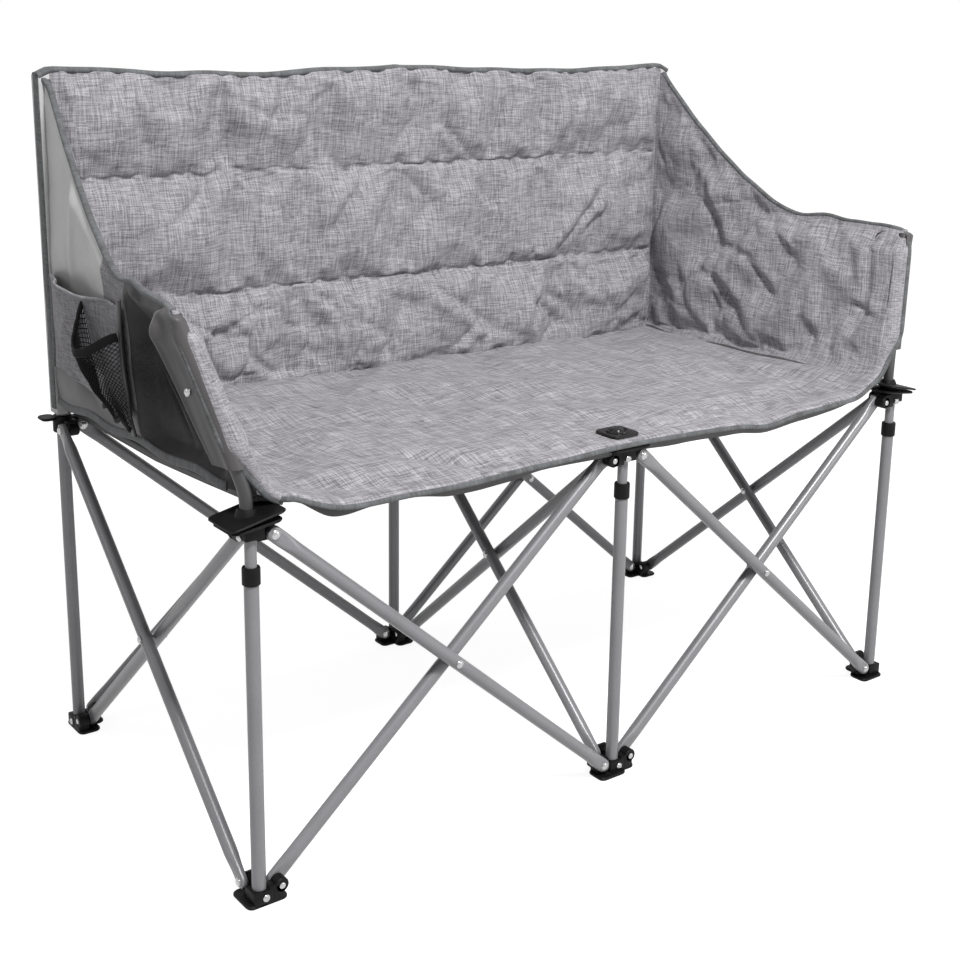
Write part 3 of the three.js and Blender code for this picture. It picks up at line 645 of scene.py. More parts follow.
def crossed_bars():
    shape = bar_shape()
    for name in UPRIGHTS:
        for other, angle in neighbours(name):
            lay = Matrix.Translation(place(name)) @ turn_z(angle)
            lay = lay @ shift(PIVOT_REACH, BAR_OFFSET, LOW_Z) @ rotated(-BAR_TILT, "Y")
            form = Form().add(shape, SILVER, lay)
            node = f"cross_bar_{name}_to_{other}"
            form.piece(f"tube_{name}_to_{other}", f"bar_{name}_to_{other}", "silver_tube", [node])
    for a, b in PAIRS:
        first, second = sorted((a, b), key=ORDER.index)
        along = place(b) - place(a)
        spin = turn_z(math.atan2(along.y, along.x))
        middle = Matrix.Translation((place(a) + place(b)) / 2 + Vector((0, 0, (LOW_Z + HIGH_Z) / 2)))
        form = Form()
        for k in range(2):
            face = middle @ spin @ rotated(math.pi / 2 + math.pi * k, "X")
            form.add(lathe(rod_profile(0.0026, -0.001, 0.0186), 16), ZINC, face)
            form.add(lathe(ring_profile(0.0027, 0.0056, 0.0184, 0.0192, 0.0002), 20), ZINC, face)
            form.add(dome(0.0044, 0.0021), ZINC, face @ shift(0, 0, 0.0192))
        form.piece(f"pivot_{a}_to_{b}", f"bar_{a}_to_{b}", "zinc_rivet", [f"cross_rivet_{first}_to_{second}"])


# Arm supports

ARM_BASE = Vector((CELL, 0.008 - POST_Y, HUB_TOP + 0.0004))
ARM_TOP = Vector((CELL + 0.061, 0.048 - POST_Y, 0.732))
ARM_BEND_Z = ARM_BASE.z + 0.014 + 0.017


def arm_axis(z):
    """Middle of the right arm tube at a height."""
    t = (z - ARM_BEND_Z) / (ARM_TOP.z - ARM_BEND_Z)
    ease = 0.035
    t = max(t, 0.0) if abs(t) > ease * 2 else (t + 2 * ease) ** 2 / (8 * ease)
    return Vector((lerp(ARM_BASE.x, ARM_TOP.x, t), lerp(ARM_BASE.y, ARM_TOP.y, t), z))


def flip(p, side):
    return Vector((p.x * side, p.y, p.z))


def tube_rings(path, radius, sides=20):
    rings = []
    for i, p in enumerate(path):
        ahead = path[min(i + 1, len(path) - 1)] - path[max(i - 1, 0)]
        u = ahead.cross(Vector((0, 1, 0.3))).normalized()
        v = ahead.cross(u).normalized()
        turns = [2 * math.pi * k / sides for k in range(sides)]
        rings.append([p + radius * (math.cos(t) * u + math.sin(t) * v) for t in turns])
    return rings


def arm_supports():
    for word, side in SIDES:
        path = [flip(arm_axis(lerp(ARM_BASE.z, ARM_TOP.z, i / 24)), side) for i in range(25)]
        form = Form().add(sweep(tube_rings(path, ARM_R)), DARK_TUBE)
        form.piece(f"arm_tube_{word}", f"head_front_{word}", "arm_tube", [f"arm_post_{word}"])


# Cloth


def grid_faces(nu, nv, skip=0, turn=False):
    faces = []
    for j in range(nv):
        for i in range(nu):
            a = skip + j * (nu + 1) + i
            face = [a, a + 1, a + nu + 2, a + nu + 1]
            faces.append(face[::-1] if turn else face)
    return faces


def rim_loop(nu, nv):
    loop = list(range(nu + 1))
    loop += [j * (nu + 1) + nu for j in range(1, nv + 1)]
    loop += [nv * (nu + 1) + i for i in range(nu - 1, -1, -1)]
    loop += [j * (nu + 1) for j in range(nv - 1, 0, -1)]
    return loop


def grid_of(nu, nv, point):
    return [point(i / nu, j / nv) for j in range(nv + 1) for i in range(nu + 1)]


def catmull(t):
    return (
        (2 - t) * t * t / 2 - t / 2, 1 + (3 * t - 5) * t * t / 2,
        (4 - 3 * t) * t * t / 2 + t / 2, (t - 1) * t * t / 2,
    )


def spread(coarse, size, fine):
    """Values of a coarse grid, smoothly spread over a fine one."""
    (cu, cv), (nu, nv) = size, fine

    def places(cells, steps):
        spots = [i / steps * cells for i in range(steps + 1)]
        return [(min(int(x), cells - 1), catmull(x - min(int(x), cells - 1))) for x in spots]

    wide = []
    for j in range(cv + 1):
        row = coarse[j * (cu + 1):(j + 1) * (cu + 1)]
        wide.append([
            row[max(k - 1, 0)] * w[0] + row[k] * w[1] + row[k + 1] * w[2] + row[min(k + 2, cu)] * w[3]
            for k, w in places(cu, nu)
        ])
    result = []
    for k, w in places(cv, nv):
        rows = wide[max(k - 1, 0)], wide[k], wide[k + 1], wide[min(k + 2, cv)]
        result += [sum((r[i] * x for r, x in zip(rows, w)), Vector()) for i in range(nu + 1)]
    return result


def billow(point, size, fine, held, turn, pressure, grow, cap, frames=16):
    """Fine grid of point(u, v, detail), moved as a coarse cloth without detail swells and buckles."""
    result = grid_of(*fine, lambda u, v: point(u, v, 1.0))
    nu, nv = size
    grid = grid_of(nu, nv, lambda u, v: point(u, v, 0.0))
    mesh = bpy.data.meshes.new("billow")
    mesh.from_pydata(grid, [], grid_faces(nu, nv, turn=turn))
    obj = bpy.data.objects.new("billow", mesh)
    scene.collection.objects.link(obj)
    group = obj.vertex_groups.new(name="held")
    fixed = [j * (nu + 1) + i for j in range(nv + 1) for i in range(nu + 1) if held(i / nu, j / nv)]
    group.add(fixed, 1.0, "REPLACE")
    cloth = obj.modifiers.new("Cloth", "CLOTH")
    settings = cloth.settings
    settings.quality = 5
    settings.mass = 0.25
    settings.tension_stiffness = 18
    settings.compression_stiffness = 14
    settings.shear_stiffness = 8
    settings.bending_stiffness = 6
    settings.air_damping = 3
    settings.use_pressure = True
    settings.uniform_pressure_force = pressure
    settings.shrink_min = -grow
    settings.vertex_group_mass = "held"
    settings.effector_weights.gravity = 0
    cloth.point_cache.frame_start = 1
    cloth.point_cache.frame_end = frames
    for number in range(1, frames + 1):
        scene.frame_set(number)
    shaped = obj.evaluated_get(bpy.context.evaluated_depsgraph_get())
    swollen = shaped.to_mesh()
    moves = []
    for old, vertex in zip(grid, swollen.vertices):
        step = vertex.co - Vector(old)
        moves.append(step * min(1.0, cap / max(step.length, 1e-9)))
    shaped.to_mesh_clear()
    bpy.data.objects.remove(obj)
    bpy.data.meshes.remove(mesh)
    scene.frame_set(1)
    return [p + step for p, step in zip(result, spread(moves, size, fine))]


def folds(a, b, lines):
    """Height of creases at a point; each is (a0, b0, a1, b1, depth in mm, half width in mm)."""
    total = 0.0
    for a0, b0, a1, b1, depth, width in lines:
        da, db = a1 - a0, b1 - b0
        length = math.hypot(da, db)
        t = ((a - a0) * da + (b - b0) * db) / length ** 2
        if -0.4 < t < 1.4:
            wander = 0.006 * wobble(a * 14, b * 14, a0 * 50)
            n = ((a - a0) * db - (b - b0) * da) / length + wander
            w = width / 950
            end = math.exp(-((t - 0.5) / 0.52) ** 4)
            total += end * depth * 0.0016 * (
                0.65 * math.exp(-((n - 1.7 * w) / (1.3 * w)) ** 2) - math.exp(-abs(n) / (0.75 * w))
            )
    return total


def crumple(a, b, cell, seed):
    """Valleys along the borders of irregular cells, strong in some places and faint in others; 0 to -1."""
    drift = Vector((wobble(a * 9, b * 9, seed), wobble(b * 9, a * 9, seed + 4), 0))
    spot = Vector((a / cell, b / cell, seed)) + drift * 0.35
    near, next_near = noise.voronoi(spot)[0][:2]
    strength = smooth((wobble(a * 5.5, b * 5.5, seed + 9) + 0.18) / 0.4)
    return -strength * math.exp(-(next_near - near) / 0.12)


def ripple(a, b, scale, seed, layers=3):
    return noise.fractal(Vector((a * scale, b * scale, seed)), 1.0, 2.0, layers)


def pad(name, body, size, face, back, flat, cloths, replaces=(), turn=False):
    """Closed pad from two skins over one grid; the cloth of each is a material or a choice by place."""
    nu, nv = size
    form = Form()
    for k, (skin, cloth) in enumerate(zip((face, back), cloths)):
        pick = cloth if callable(cloth) else lambda u, v, cloth=cloth: cloth
        form.add((skin, grid_faces(nu, nv, turn=turn == (k == 0))), pick(0, 0), flat=flat)
        for j in range(nv):
            for i in range(nu):
                chosen = pick((i + 0.5) / nu, (j + 0.5) / nv)
                if chosen not in form.slots:
                    form.slots.append(chosen)
                form.materials[(k * nv + j) * nu + i] = form.slots.index(chosen)
    total = (nu + 1) * (nv + 1)
    loop = rim_loop(nu, nv)
    rim = []
    for k, i in enumerate(loop):
        j = loop[(k + 1) % len(loop)]
        rim.append([i, j, j + total, i + total] if turn else [j, i, i + total, j + total])
    form.faces += rim
    form.materials += [form.materials[nu * nv]] * len(rim)
    form.flat += [[flat[i % total] for i in face] for face in rim]
    obj = form.piece(name, body, "melange_cloth", replaces, angle=75)
    weld = bmesh.new()
    weld.from_mesh(obj.data)
    bmesh.ops.remove_doubles(weld, verts=weld.verts, dist=1e-6)
    bmesh.ops.recalc_face_normals(weld, faces=weld.faces)
    weld.to_mesh(obj.data)
    weld.free()
    return obj


def eased(path, passes=4):
    for _ in range(passes):
        path = [path[0]] + [(a + b * 2 + c) / 4 for a, b, c in zip(path, path[1:], path[2:])] + [path[-1]]
    return path


def tape_along(name, body, path, size, across, material=None, slot="melange_cloth", sides=12):
    """Folded edge tape along a path; size is half its width and half its thickness.

    The direction of the width is one for the whole tape, or across(i).
    """
    half_width, half_thickness = size
    rings, flat, length = [], [], 0.0
    for i, p in enumerate(path):
        ahead = (path[min(i + 1, len(path) - 1)] - path[max(i - 1, 0)]).normalized()
        w = Vector(across(i) if callable(across) else across)
        w = (w - ahead * w.dot(ahead)).normalized()
        t = ahead.cross(w)
        length += (p - path[i - 1]).length if i else 0
        ring = []
        for k in range(sides):
            turn = 2 * math.pi * k / sides
            c, s = math.cos(turn), math.sin(turn)
            c, s = math.copysign(abs(c) ** 0.7, c), math.copysign(abs(s) ** 0.7, s)
            ring.append(p + w * half_width * c + t * half_thickness * s)
            flat.append((length, half_width * c + (half_thickness * 2 if s > 0 else 0)))
        rings.append(ring)
    form = Form().add(sweep(rings), material or TAPE, flat=flat)
    return form.piece(name, body, slot, angle=60)


BACK_SEAMS = (0.650, 0.829)
BACK_BOTTOM, BACK_TOP = 0.497, 0.984
BACK_X = 0.587
BACK_FRONT = POST_Y - 0.0144
# For each channel, from the lowest up
BACK_PUFF = (0.017, 0.013, 0.011)
BACK_ROUGH = (0.016, 0.010, 0.007)
BACK_RIPPLE = (0.0075, 0.0045, 0.0035)
# Each crease is (from, from, to, to, depth, half width); the last two in mm
BACK_CREASES = [
    (-0.29, 0.895, -0.32, 0.825, 7, 9), (-0.20, 0.964, -0.24, 0.875, 6, 11),
    (-0.05, 0.967, -0.06, 0.90, 4, 12), (0.08, 0.894, 0.14, 0.837, 8, 9), (0.22, 0.944, 0.18, 0.838, 5, 12),
    (0.36, 0.916, 0.35, 0.861, 4, 10), (-0.46, 0.93, -0.43, 0.86, 3, 12), (0.47, 0.95, 0.50, 0.87, 3, 12),
    (-0.34, 0.812, -0.40, 0.76, 7, 10), (-0.30, 0.816, -0.27, 0.792, 5, 8),
    (-0.07, 0.809, -0.13, 0.735, 7, 10), (0.14, 0.80, 0.19, 0.755, 6, 9), (0.43, 0.77, 0.33, 0.662, 8, 10),
    (0.45, 0.733, 0.39, 0.69, 6, 9), (-0.03, 0.772, -0.06, 0.70, 5, 11), (-0.27, 0.73, -0.25, 0.66, 4, 11),
    (0.24, 0.80, 0.22, 0.70, 4, 12), (-0.25, 0.628, -0.38, 0.568, 7, 10),
    (-0.09, 0.588, -0.04, 0.552, 7, 8), (0.06, 0.63, 0.18, 0.55, 8, 10), (0.10, 0.516, 0.15, 0.553, 7, 8),
    (0.51, 0.585, 0.48, 0.545, 5, 9), (-0.17, 0.64, -0.12, 0.60, 5, 9), (0.30, 0.60, 0.26, 0.53, 6, 10),
    (-0.47, 0.60, -0.50, 0.54, 4, 10), (0.36, 0.64, 0.42, 0.59, 5, 9),
]


def back_top(x):
    span = abs(math.sin(math.pi * x / CELL)) ** 0.8
    wave = 0.0035 * wobble(x * 11, 3.1, 0.4)
    return BACK_TOP - 0.009 * span + wave - 0.008 * smooth((abs(x) - 0.565) / 0.025)


def back_z(x, v):
    stops = [BACK_BOTTOM, *BACK_SEAMS, back_top(x)]
    k = min(int(v * 3), 2)
    w = v * 3 - k
    t = w - 0.11 * math.sin(2 * math.pi * w)
    return lerp(stops[k], stops[k + 1], t), t, k


def back_face(u, v, detail=1.0):
    x = lerp(-BACK_X, BACK_X, u)
    z, t, k = back_z(x, v)
    rim = smooth((CELL - 0.012 - abs(x)) / 0.016)
    puff = BACK_PUFF[k] * arch(t) ** 0.5 * rim
    if k == 0:
        puff += (0.008 + 0.010 * wobble(x * 7, 4.4, 1.0)) * rim * (1 - t)
    near = min(t, 1 - t) * 0.17
    bow = 0.004 * arch(v) * abs(math.sin(math.pi * x / CELL))
    y = BACK_FRONT + bow - puff
    if detail:
        pucker = 0.0034 * math.exp(-near / 0.022) * wobble(x * 30, k * 7.3, 2.2)
        pucker *= min(near / 0.008, 1)
        lump = 0.005 * ripple(x, z, 6, 1.7) + BACK_RIPPLE[k] * ripple(x, z * 1.5, 14, 2.2)
        lump += BACK_ROUGH[k] * (crumple(x, z, 0.11, 3.3) + 0.4 * crumple(x, z, 0.052, 7.7))
        crease = folds(x, z, BACK_CREASES) * arch(t) ** 0.3 - 0.003 * math.exp(-(near / 0.004) ** 2)
        y -= (pucker + lump * arch(t) ** 0.4 + crease) * rim
        y = min(y, BACK_FRONT + 0.002 + 0.25 * max(y - BACK_FRONT - 0.002, 0))
    return Vector((x, y, z))


def back_rear(u, v):
    x = lerp(-BACK_X, BACK_X, u)
    z = back_z(x, v)[0]
    gap = min(abs(x - c * CELL) for c in (-1, 0, 1))
    sleeve = 0.0125 * math.exp(-(gap / 0.016) ** 4)
    slack = 0.003 * ripple(x, z, 5, 8.8) - 0.002 * arch(v)
    return Vector((x, POST_Y + 0.0035 + sleeve + slack * smooth(gap / 0.06), z))


def back_pad():
    nu, nv = 306, 132
    flat = [(p.x, p.z) for p in grid_of(nu, nv, back_face)]
    seams = (0.0, 1 / 3, 2 / 3, 1.0)

    def held(u, v):
        return u < 0.02 or u > 0.98 or min(abs(v - s) for s in seams) < 0.004

    face = billow(back_face, (102, 48), (nu, nv), held, False, 0.5, 0.03, 0.010)
    rear = grid_of(nu, nv, back_rear)

    def front_cloth(u, v):
        return NYLON if u < 0.012 or u > 0.988 else MELANGE

    obj = pad("back_quilt", MIDDLE, (nu, nv), face, rear, flat, (front_cloth, NYLON), ["back_pad"])
    path = []
    for i in range(141):
        x = lerp(-BACK_X, BACK_X, i / 140)
        y = POST_Y - 0.004 + 0.002 * wobble(x * 9, 0, 5)
        path.append(Vector((x, y, back_top(x) - 0.001)))
    return [obj, tape_along("back_top_tape", MIDDLE, path, (0.0048, 0.0122), UP)]


# Seat

SEAT_X = 0.5624
SEAT_FRONT, SEAT_REAR = -0.3055, 0.2751
SEAT_Z = 0.4984
SEAT_CREASES = [
    (-0.40, -0.045, -0.33, -0.06, 5, 9), (-0.31, -0.20, -0.24, -0.27, 6, 16),
    (-0.15, -0.18, 0.02, -0.13, 3, 18), (0.20, -0.08, 0.36, -0.06, 3, 18), (-0.05, 0.06, 0.10, 0.02, 3, 16),
    (-0.42, 0.12, -0.30, 0.06, 4, 16), (0.30, 0.14, 0.42, 0.06, 3, 16), (0.14, -0.22, 0.24, -0.27, 4, 15),
    (0.42, -0.16, 0.50, -0.24, 4, 14),
]
PLATE_SPOT = (0.0, 0.014 - POST_Y)
SEAT_GRID, SEAT_SPLIT = (220, 120), 0.525


def seat_lift(x):
    """Front corners rise to the arms."""
    return 0.036 * smooth((min(abs(x), 0.52) - 0.46) / 0.135)


def seat_wave(x, y):
    turn = 2 * math.pi / 0.290
    return 0.0045 * math.sin(turn * (x + y / 3)) * math.cos(turn * y * 1.2)


def seat_row(v):
    """Depth of a row; rows lie closer at the front edge, and one lies on the fold."""
    if v < SEAT_SPLIT:
        return SEAT_FRONT * (1 - (v / SEAT_SPLIT) ** 1.25)
    return SEAT_REAR * (v - SEAT_SPLIT) / (1 - SEAT_SPLIT)


def seat_point(x, y, upper, detail=1.0):
    free = POST_Y - TOE - 0.004
    depth = arch((y + free) / (2 * free))
    across = 1 - (abs(x) / SEAT_X) ** 6
    inside = y - SEAT_FRONT
    back = 0.016 * smooth((abs(x) - 0.44) / 0.12) * max(1 - 2 * inside / (SEAT_REAR - SEAT_FRONT), 0)
    back += 0.022 * smooth((abs(x) - 0.522) / 0.035) * max(1 - inside / 0.15, 0)
    calm = smooth((math.hypot(x - PLATE_SPOT[0], y - PLATE_SPOT[1]) - 0.03) / 0.05)
    edge = smooth(inside / 0.05) * smooth((SEAT_X - abs(x)) / 0.04) * calm
    nose = 1 - max(1 - inside / 0.014, 0) ** 2
    half = (0.0052 + 0.007 * depth * across) * math.sqrt(nose) + 0.0006
    front = 1 - smooth(inside / 0.10)
    span = math.sin(math.pi * x / CELL) ** 2
    droop = 0.007 * span + 0.008 * math.exp(-((x - 0.27) / 0.045) ** 2)
    droop += 0.004 * wobble(x * 8, 7, 0)
    z = SEAT_Z - 0.009 * depth * across + seat_lift(x) * max(1 - inside / 0.3, 0)
    z -= droop * front * calm * (1 - smooth((abs(x) - 0.44) / 0.1))
    if upper:
        lump = 0.0
        if detail:
            lump = 0.002 * ripple(x, y, 6, 4.4) + 0.002 * crumple(x, y, 0.16, 6.1)
            lump += folds(x, y, SEAT_CREASES) * 0.8
        return Vector((x, y + back, z + half + lump * edge + seat_wave(x, y) * depth * across))
    return Vector((x, y + back, z - half))


def seat_pads():
    nu, nv = SEAT_GRID
    split = round(nv * SEAT_SPLIT)
    rows = [seat_row(j / nv) for j in range(nv + 1)]
    lower = grid_of(nu, nv, lambda u, v: seat_point(lerp(-SEAT_X, SEAT_X, u), seat_row(v), False))

    def top(u, v, detail):
        return seat_point(lerp(-SEAT_X, SEAT_X, u), seat_row(v), True, detail)

    def held(u, v):
        x, y = lerp(-SEAT_X, SEAT_X, u), seat_row(v)
        plate = math.hypot(x - PLATE_SPOT[0], y - PLATE_SPOT[1]) < 0.05
        return plate or u < 0.06 or u > 0.94 or y < SEAT_FRONT + 0.03 or v > 0.98

    upper = billow(top, (110, 60), (nu, nv), held, False, 0.4, 0.010, 0.008)
    for high, low in zip(upper, lower):
        high.z = max(high.z, low.z + 0.0012)
    made = []
    for word, first, last in (("front", 0, split), ("rear", split, nv)):
        cut = slice(first * (nu + 1), (last + 1) * (nu + 1))
        flat = [(p.x * 0.8, p.y * 0.6) for p in upper[cut]]
        obj = pad(
            f"seat_{word}_quilt", f"seat_{word}", (nu, last - first), upper[cut], lower[cut], flat,
            (MELANGE, NYLON_DARK), [f"seat_{word}_pad"],
        )
        made.append(obj)
    smooth_join(made, 0.0)
    path = [lower[i].lerp(upper[i], 0.4) + Vector((0, -0.0012, -0.0012)) for i in range(nu + 1)]
    made.append(tape_along("seat_front_tape", "seat_front", path, (0.0034, 0.0024), (0, 0.45, 1)))
    made.append(seat_apron(path))

    def level(x, y):
        """Height of the seat's upper face."""
        lean = seat_point(x, y, True).y - y
        y -= lean
        i = clamp((x + SEAT_X) / (2 * SEAT_X)) * nu
        k = min(int(i), nu - 1)
        j = max(row for row in range(nv) if rows[row] <= max(y, SEAT_FRONT))
        spots = [row * (nu + 1) + k for row in (j, j + 1)]
        low, high = (lerp(upper[spot].z, upper[spot + 1].z, i - k) for spot in spots)
        return lerp(low, high, clamp((y - rows[j]) / (rows[j + 1] - rows[j])))

    return made, level


def seat_apron(edge):
    """Lining that hangs a little below the front edge."""
    rings, flat = [], []
    for p in edge[8:-8]:
        drop = 0.003 + 0.008 * smooth(0.5 + 1.8 * wobble(p.x * 6, 2.6, 0.5))
        drop *= smooth((0.52 - abs(p.x)) / 0.05)
        sway = 0.004 * wobble(p.x * 17, 1.1, 0.2)
        low = p + Vector((0, 0.008 + sway, -drop - 0.003))
        top = p + Vector((0, 0.005, 0.001))
        thick = Vector((0, 0.0014, 0))
        rings.append([top, low, low + thick, top + thick])
        flat += [(p.x, 0), (p.x, -drop), (p.x, -drop), (p.x, 0)]
    obj = Form().add(sweep(rings), NYLON_TAUPE_SHADED, flat=flat).piece("seat_apron", "seat_front", "melange_cloth")
    return obj


def smooth_join(objs, y):
    """Same shading on both sides of the line where the seat folds."""
    totals = {}
    for obj in objs:
        for v in obj.data.vertices:
            if abs(v.co.y - y) < 0.001 and abs(v.normal.z) > 0.2:
                key = (round(v.co.x, 4), v.co.z > SEAT_Z)
                totals[key] = totals.get(key, Vector()) + Vector((v.normal.x, 0, v.normal.z))
    for obj in objs:
        normals = []
        for v in obj.data.vertices:
            key = (round(v.co.x, 4), v.co.z > SEAT_Z)
            if abs(v.co.y - y) < 0.001 and key in totals:
                normals.append(totals[key].normalized())
            else:
                normals.append(v.normal.copy())
        obj.data.normals_split_custom_set_from_vertices(normals)


# Arms

ARM_REAR = BACK_FRONT - 0.0004
ARM_LOW, ARM_HIGH, ARM_REAR_HIGH = 0.53, 0.742, 0.970
ARM_CREASES = [
    (0.15, 0.785, 0.11, 0.68, 10, 9), (0.11, 0.68, 0.155, 0.64, 8, 9), (0.11, 0.68, 0.02, 0.66, 6, 9),
    (0.10, 0.615, 0.01, 0.546, 10, 10), (0.03, 0.65, -0.03, 0.608, 9, 9), (0.03, 0.75, -0.08, 0.652, 6, 12),
    (-0.09, 0.747, -0.11, 0.70, 6, 9), (-0.10, 0.63, -0.10, 0.57, 6, 9), (-0.11, 0.575, -0.14, 0.54, 6, 8),
    (-0.19, 0.615, -0.245, 0.60, 6, 8), (0.11, 0.60, 0.09, 0.56, 6, 8), (0.19, 0.63, 0.17, 0.57, 5, 10),
    (0.20, 0.86, 0.18, 0.78, 4, 11), (-0.16, 0.70, -0.19, 0.63, 4, 11), (0.06, 0.70, 0.08, 0.62, 6, 9),
]
OUTER_CREASES = [
    (0.16, 0.86, 0.19, 0.70, 5, 12), (0.22, 0.60, 0.10, 0.54, 5, 10), (-0.085, 0.725, -0.125, 0.60, 7, 9),
    (-0.11, 0.72, -0.14, 0.65, 5, 8), (-0.075, 0.64, -0.13, 0.55, 5, 9), (-0.135, 0.63, -0.16, 0.55, 5, 8),
]
ROLL_START = 0.84
FILLET_SHARE = 0.2
SLEEVE_LOW, SLEEVE_HIGH = 0.556, 0.7395


def arm_top(s):
    slope = max(1 - s / 0.62, 0) ** 1.5
    wave = 0.004 * wobble(s * 13, 6.2, 1.1)
    bump = 0.006 * math.exp(-((s - 0.70) / 0.06) ** 2)
    edge = ARM_HIGH + (ARM_REAR_HIGH - ARM_HIGH) * slope + wave * arch(s) ** 0.3 + bump
    return edge - 0.003 * smooth((s - 0.86) / 0.14) ** 2


def arm_support(z):
    return arm_axis(min(max(z, ARM_BASE.z), ARM_HIGH))


def pipe_offset(z):
    """Sewn front edge: inside the bare lower tube, then outside the sleeved part."""
    return lerp(-0.013, 0.0085, smooth((z - 0.530) / 0.055))


def strip_y(z):
    """Line of the tape between the pocket panel and the fold on the left arm."""
    return lerp(-0.012, -0.060, (z - 0.532) / 0.19)


def fillet(s):
    """Radius where the arm turns into the seat, widest in the front corner."""
    return lerp(0.020, 0.042, smooth((s - 0.55) / 0.4))


def inner_half(s, v):
    full = lerp(0.010, 0.020, smooth(s / 0.12)) + 0.012 * (1 - v) ** 2 * smooth((s - 0.3) / 0.5)
    return lerp(0.0045, full, smooth((1 - v) / 0.16))


def arm_inner(side, level):
    def point(a, v, detail=1.0):
        s = min(a / ROLL_START, 1)
        wrap = clamp((a - ROLL_START) / (1 - ROLL_START))
        half = inner_half(s, v)
        bend_r = fillet(s)
        low = arm_support(ARM_LOW)
        base = level(side * (lerp(CELL, low.x, s) - half - bend_r), lerp(ARM_REAR, low.y, s)) - 0.004
        turn = min(v / FILLET_SHARE, 1) * math.pi / 2
        foot = bend_r * (1 - math.sin(turn)) * (1 - 0.25 * smooth(wrap))
        rise = bend_r * (1 - math.cos(turn))
        if v > FILLET_SHARE:
            rise = lerp(bend_r, arm_top(s) - base, (v - FILLET_SHARE) / (1 - FILLET_SHARE))
        z = base + rise
        tube = arm_support(z)
        y = lerp(ARM_REAR, tube.y, s)
        x = lerp(CELL, tube.x, s) - half - foot
        rim = smooth((v - 0.1) / 0.2) * smooth((1 - v) / 0.14) * smooth(s / 0.06)
        rim *= 1 - smooth(wrap / 0.4)
        slant = y * math.cos(0.9) + z * math.sin(0.9)
        lump = 0.004 * math.sin(2 * math.pi * slant / 0.130)
        if detail:
            lump += 0.003 * ripple(y * side + 3, z, 6, 5.5) + 0.006 * crumple(y, z, 0.085, 2.0 + side)
            lump += 0.62 * folds(y, z, ARM_CREASES)
        if side < 0:
            lump = max(lump, -0.007) + 0.007 * hollow(side, y, z, v)
        lump -= 0.004 * math.exp(-((y - tube.y - 0.045) / 0.007) ** 2) * smooth((z - 0.62) / 0.06)
        x -= lump * rim
        if wrap > 0:
            pipe = lerp(0.004, pipe_offset(z), smooth((1 - v) / 0.1))
            r = max((half + pipe) / 1.906, 0.003)
            bend = math.pi + math.radians(155) * wrap
            x = tube.x - (half - r) + r * math.cos(bend) - foot
            y = tube.y + r * math.sin(bend)
        return flip(Vector((x, y, z)), side)

    return point


STRIP_SHARE = 0.55


def arm_outer(side):
    def point(a, v):
        low = 0.515 + 0.010 * a + 0.003 * math.sin(a * 21) * side
        s = a
        for _ in range(2):
            z = lerp(low, arm_top(s), v)
            tube = arm_support(z)
            ends = (ARM_REAR, strip_y(z), tube.y - 0.005)
            if a < STRIP_SHARE:
                y = lerp(ends[0], ends[1], a / STRIP_SHARE)
            else:
                y = lerp(ends[1], ends[2], (a - STRIP_SHARE) / (1 - STRIP_SHARE))
            s = (ARM_REAR - y) / (ARM_REAR - ends[2])
        rim = smooth(v / 0.1) * smooth((1 - v) / 0.1)
        slack = 0.006 * ripple(y * side, z, 5, 9.3)
        slack = max(slack + folds(y, z, OUTER_CREASES), -0.003)
        out = lerp(0.0085, pipe_offset(z), smooth((s - 0.9) / 0.1))
        out = lerp(0.0035, out, smooth((1 - v) / 0.08))
        x = lerp(CELL, tube.x, s) + out + slack * rim * (1 - smooth((s - 0.86) / 0.06))
        x -= 0.024 * hollow(side, y, z, v)
        return flip(Vector((x, y, z)), side)

    return point


def hollow(side, y, z, v):
    """Deep fold between the pocket panel and the sleeve on the left arm."""
    if side > 0:
        return 0.0
    sleeve = arm_support(z).y + 0.046
    along = smooth((strip_y(z) - y) / 0.03) * smooth((y - sleeve + 0.02) / 0.03)
    return along * smooth(v / 0.12) * smooth((0.96 - v) / 0.2)


def outer_cloth(side):
    def pick(a, v):
        # Left arm ahead of the strip: the dark nylon with shade painted into the fold.
        if side < 0 and a > STRIP_SHARE:
            return NYLON_FOLD_SHADE
        if side < 0 and a > 0.40 and v > 0.2:
            return MELANGE
        # Below the upper panel the outside takes the dark taupe copy: painted shade under the lit grey.
        return NYLON if v > 0.2 else NYLON_TAUPE_SHADED

    return pick


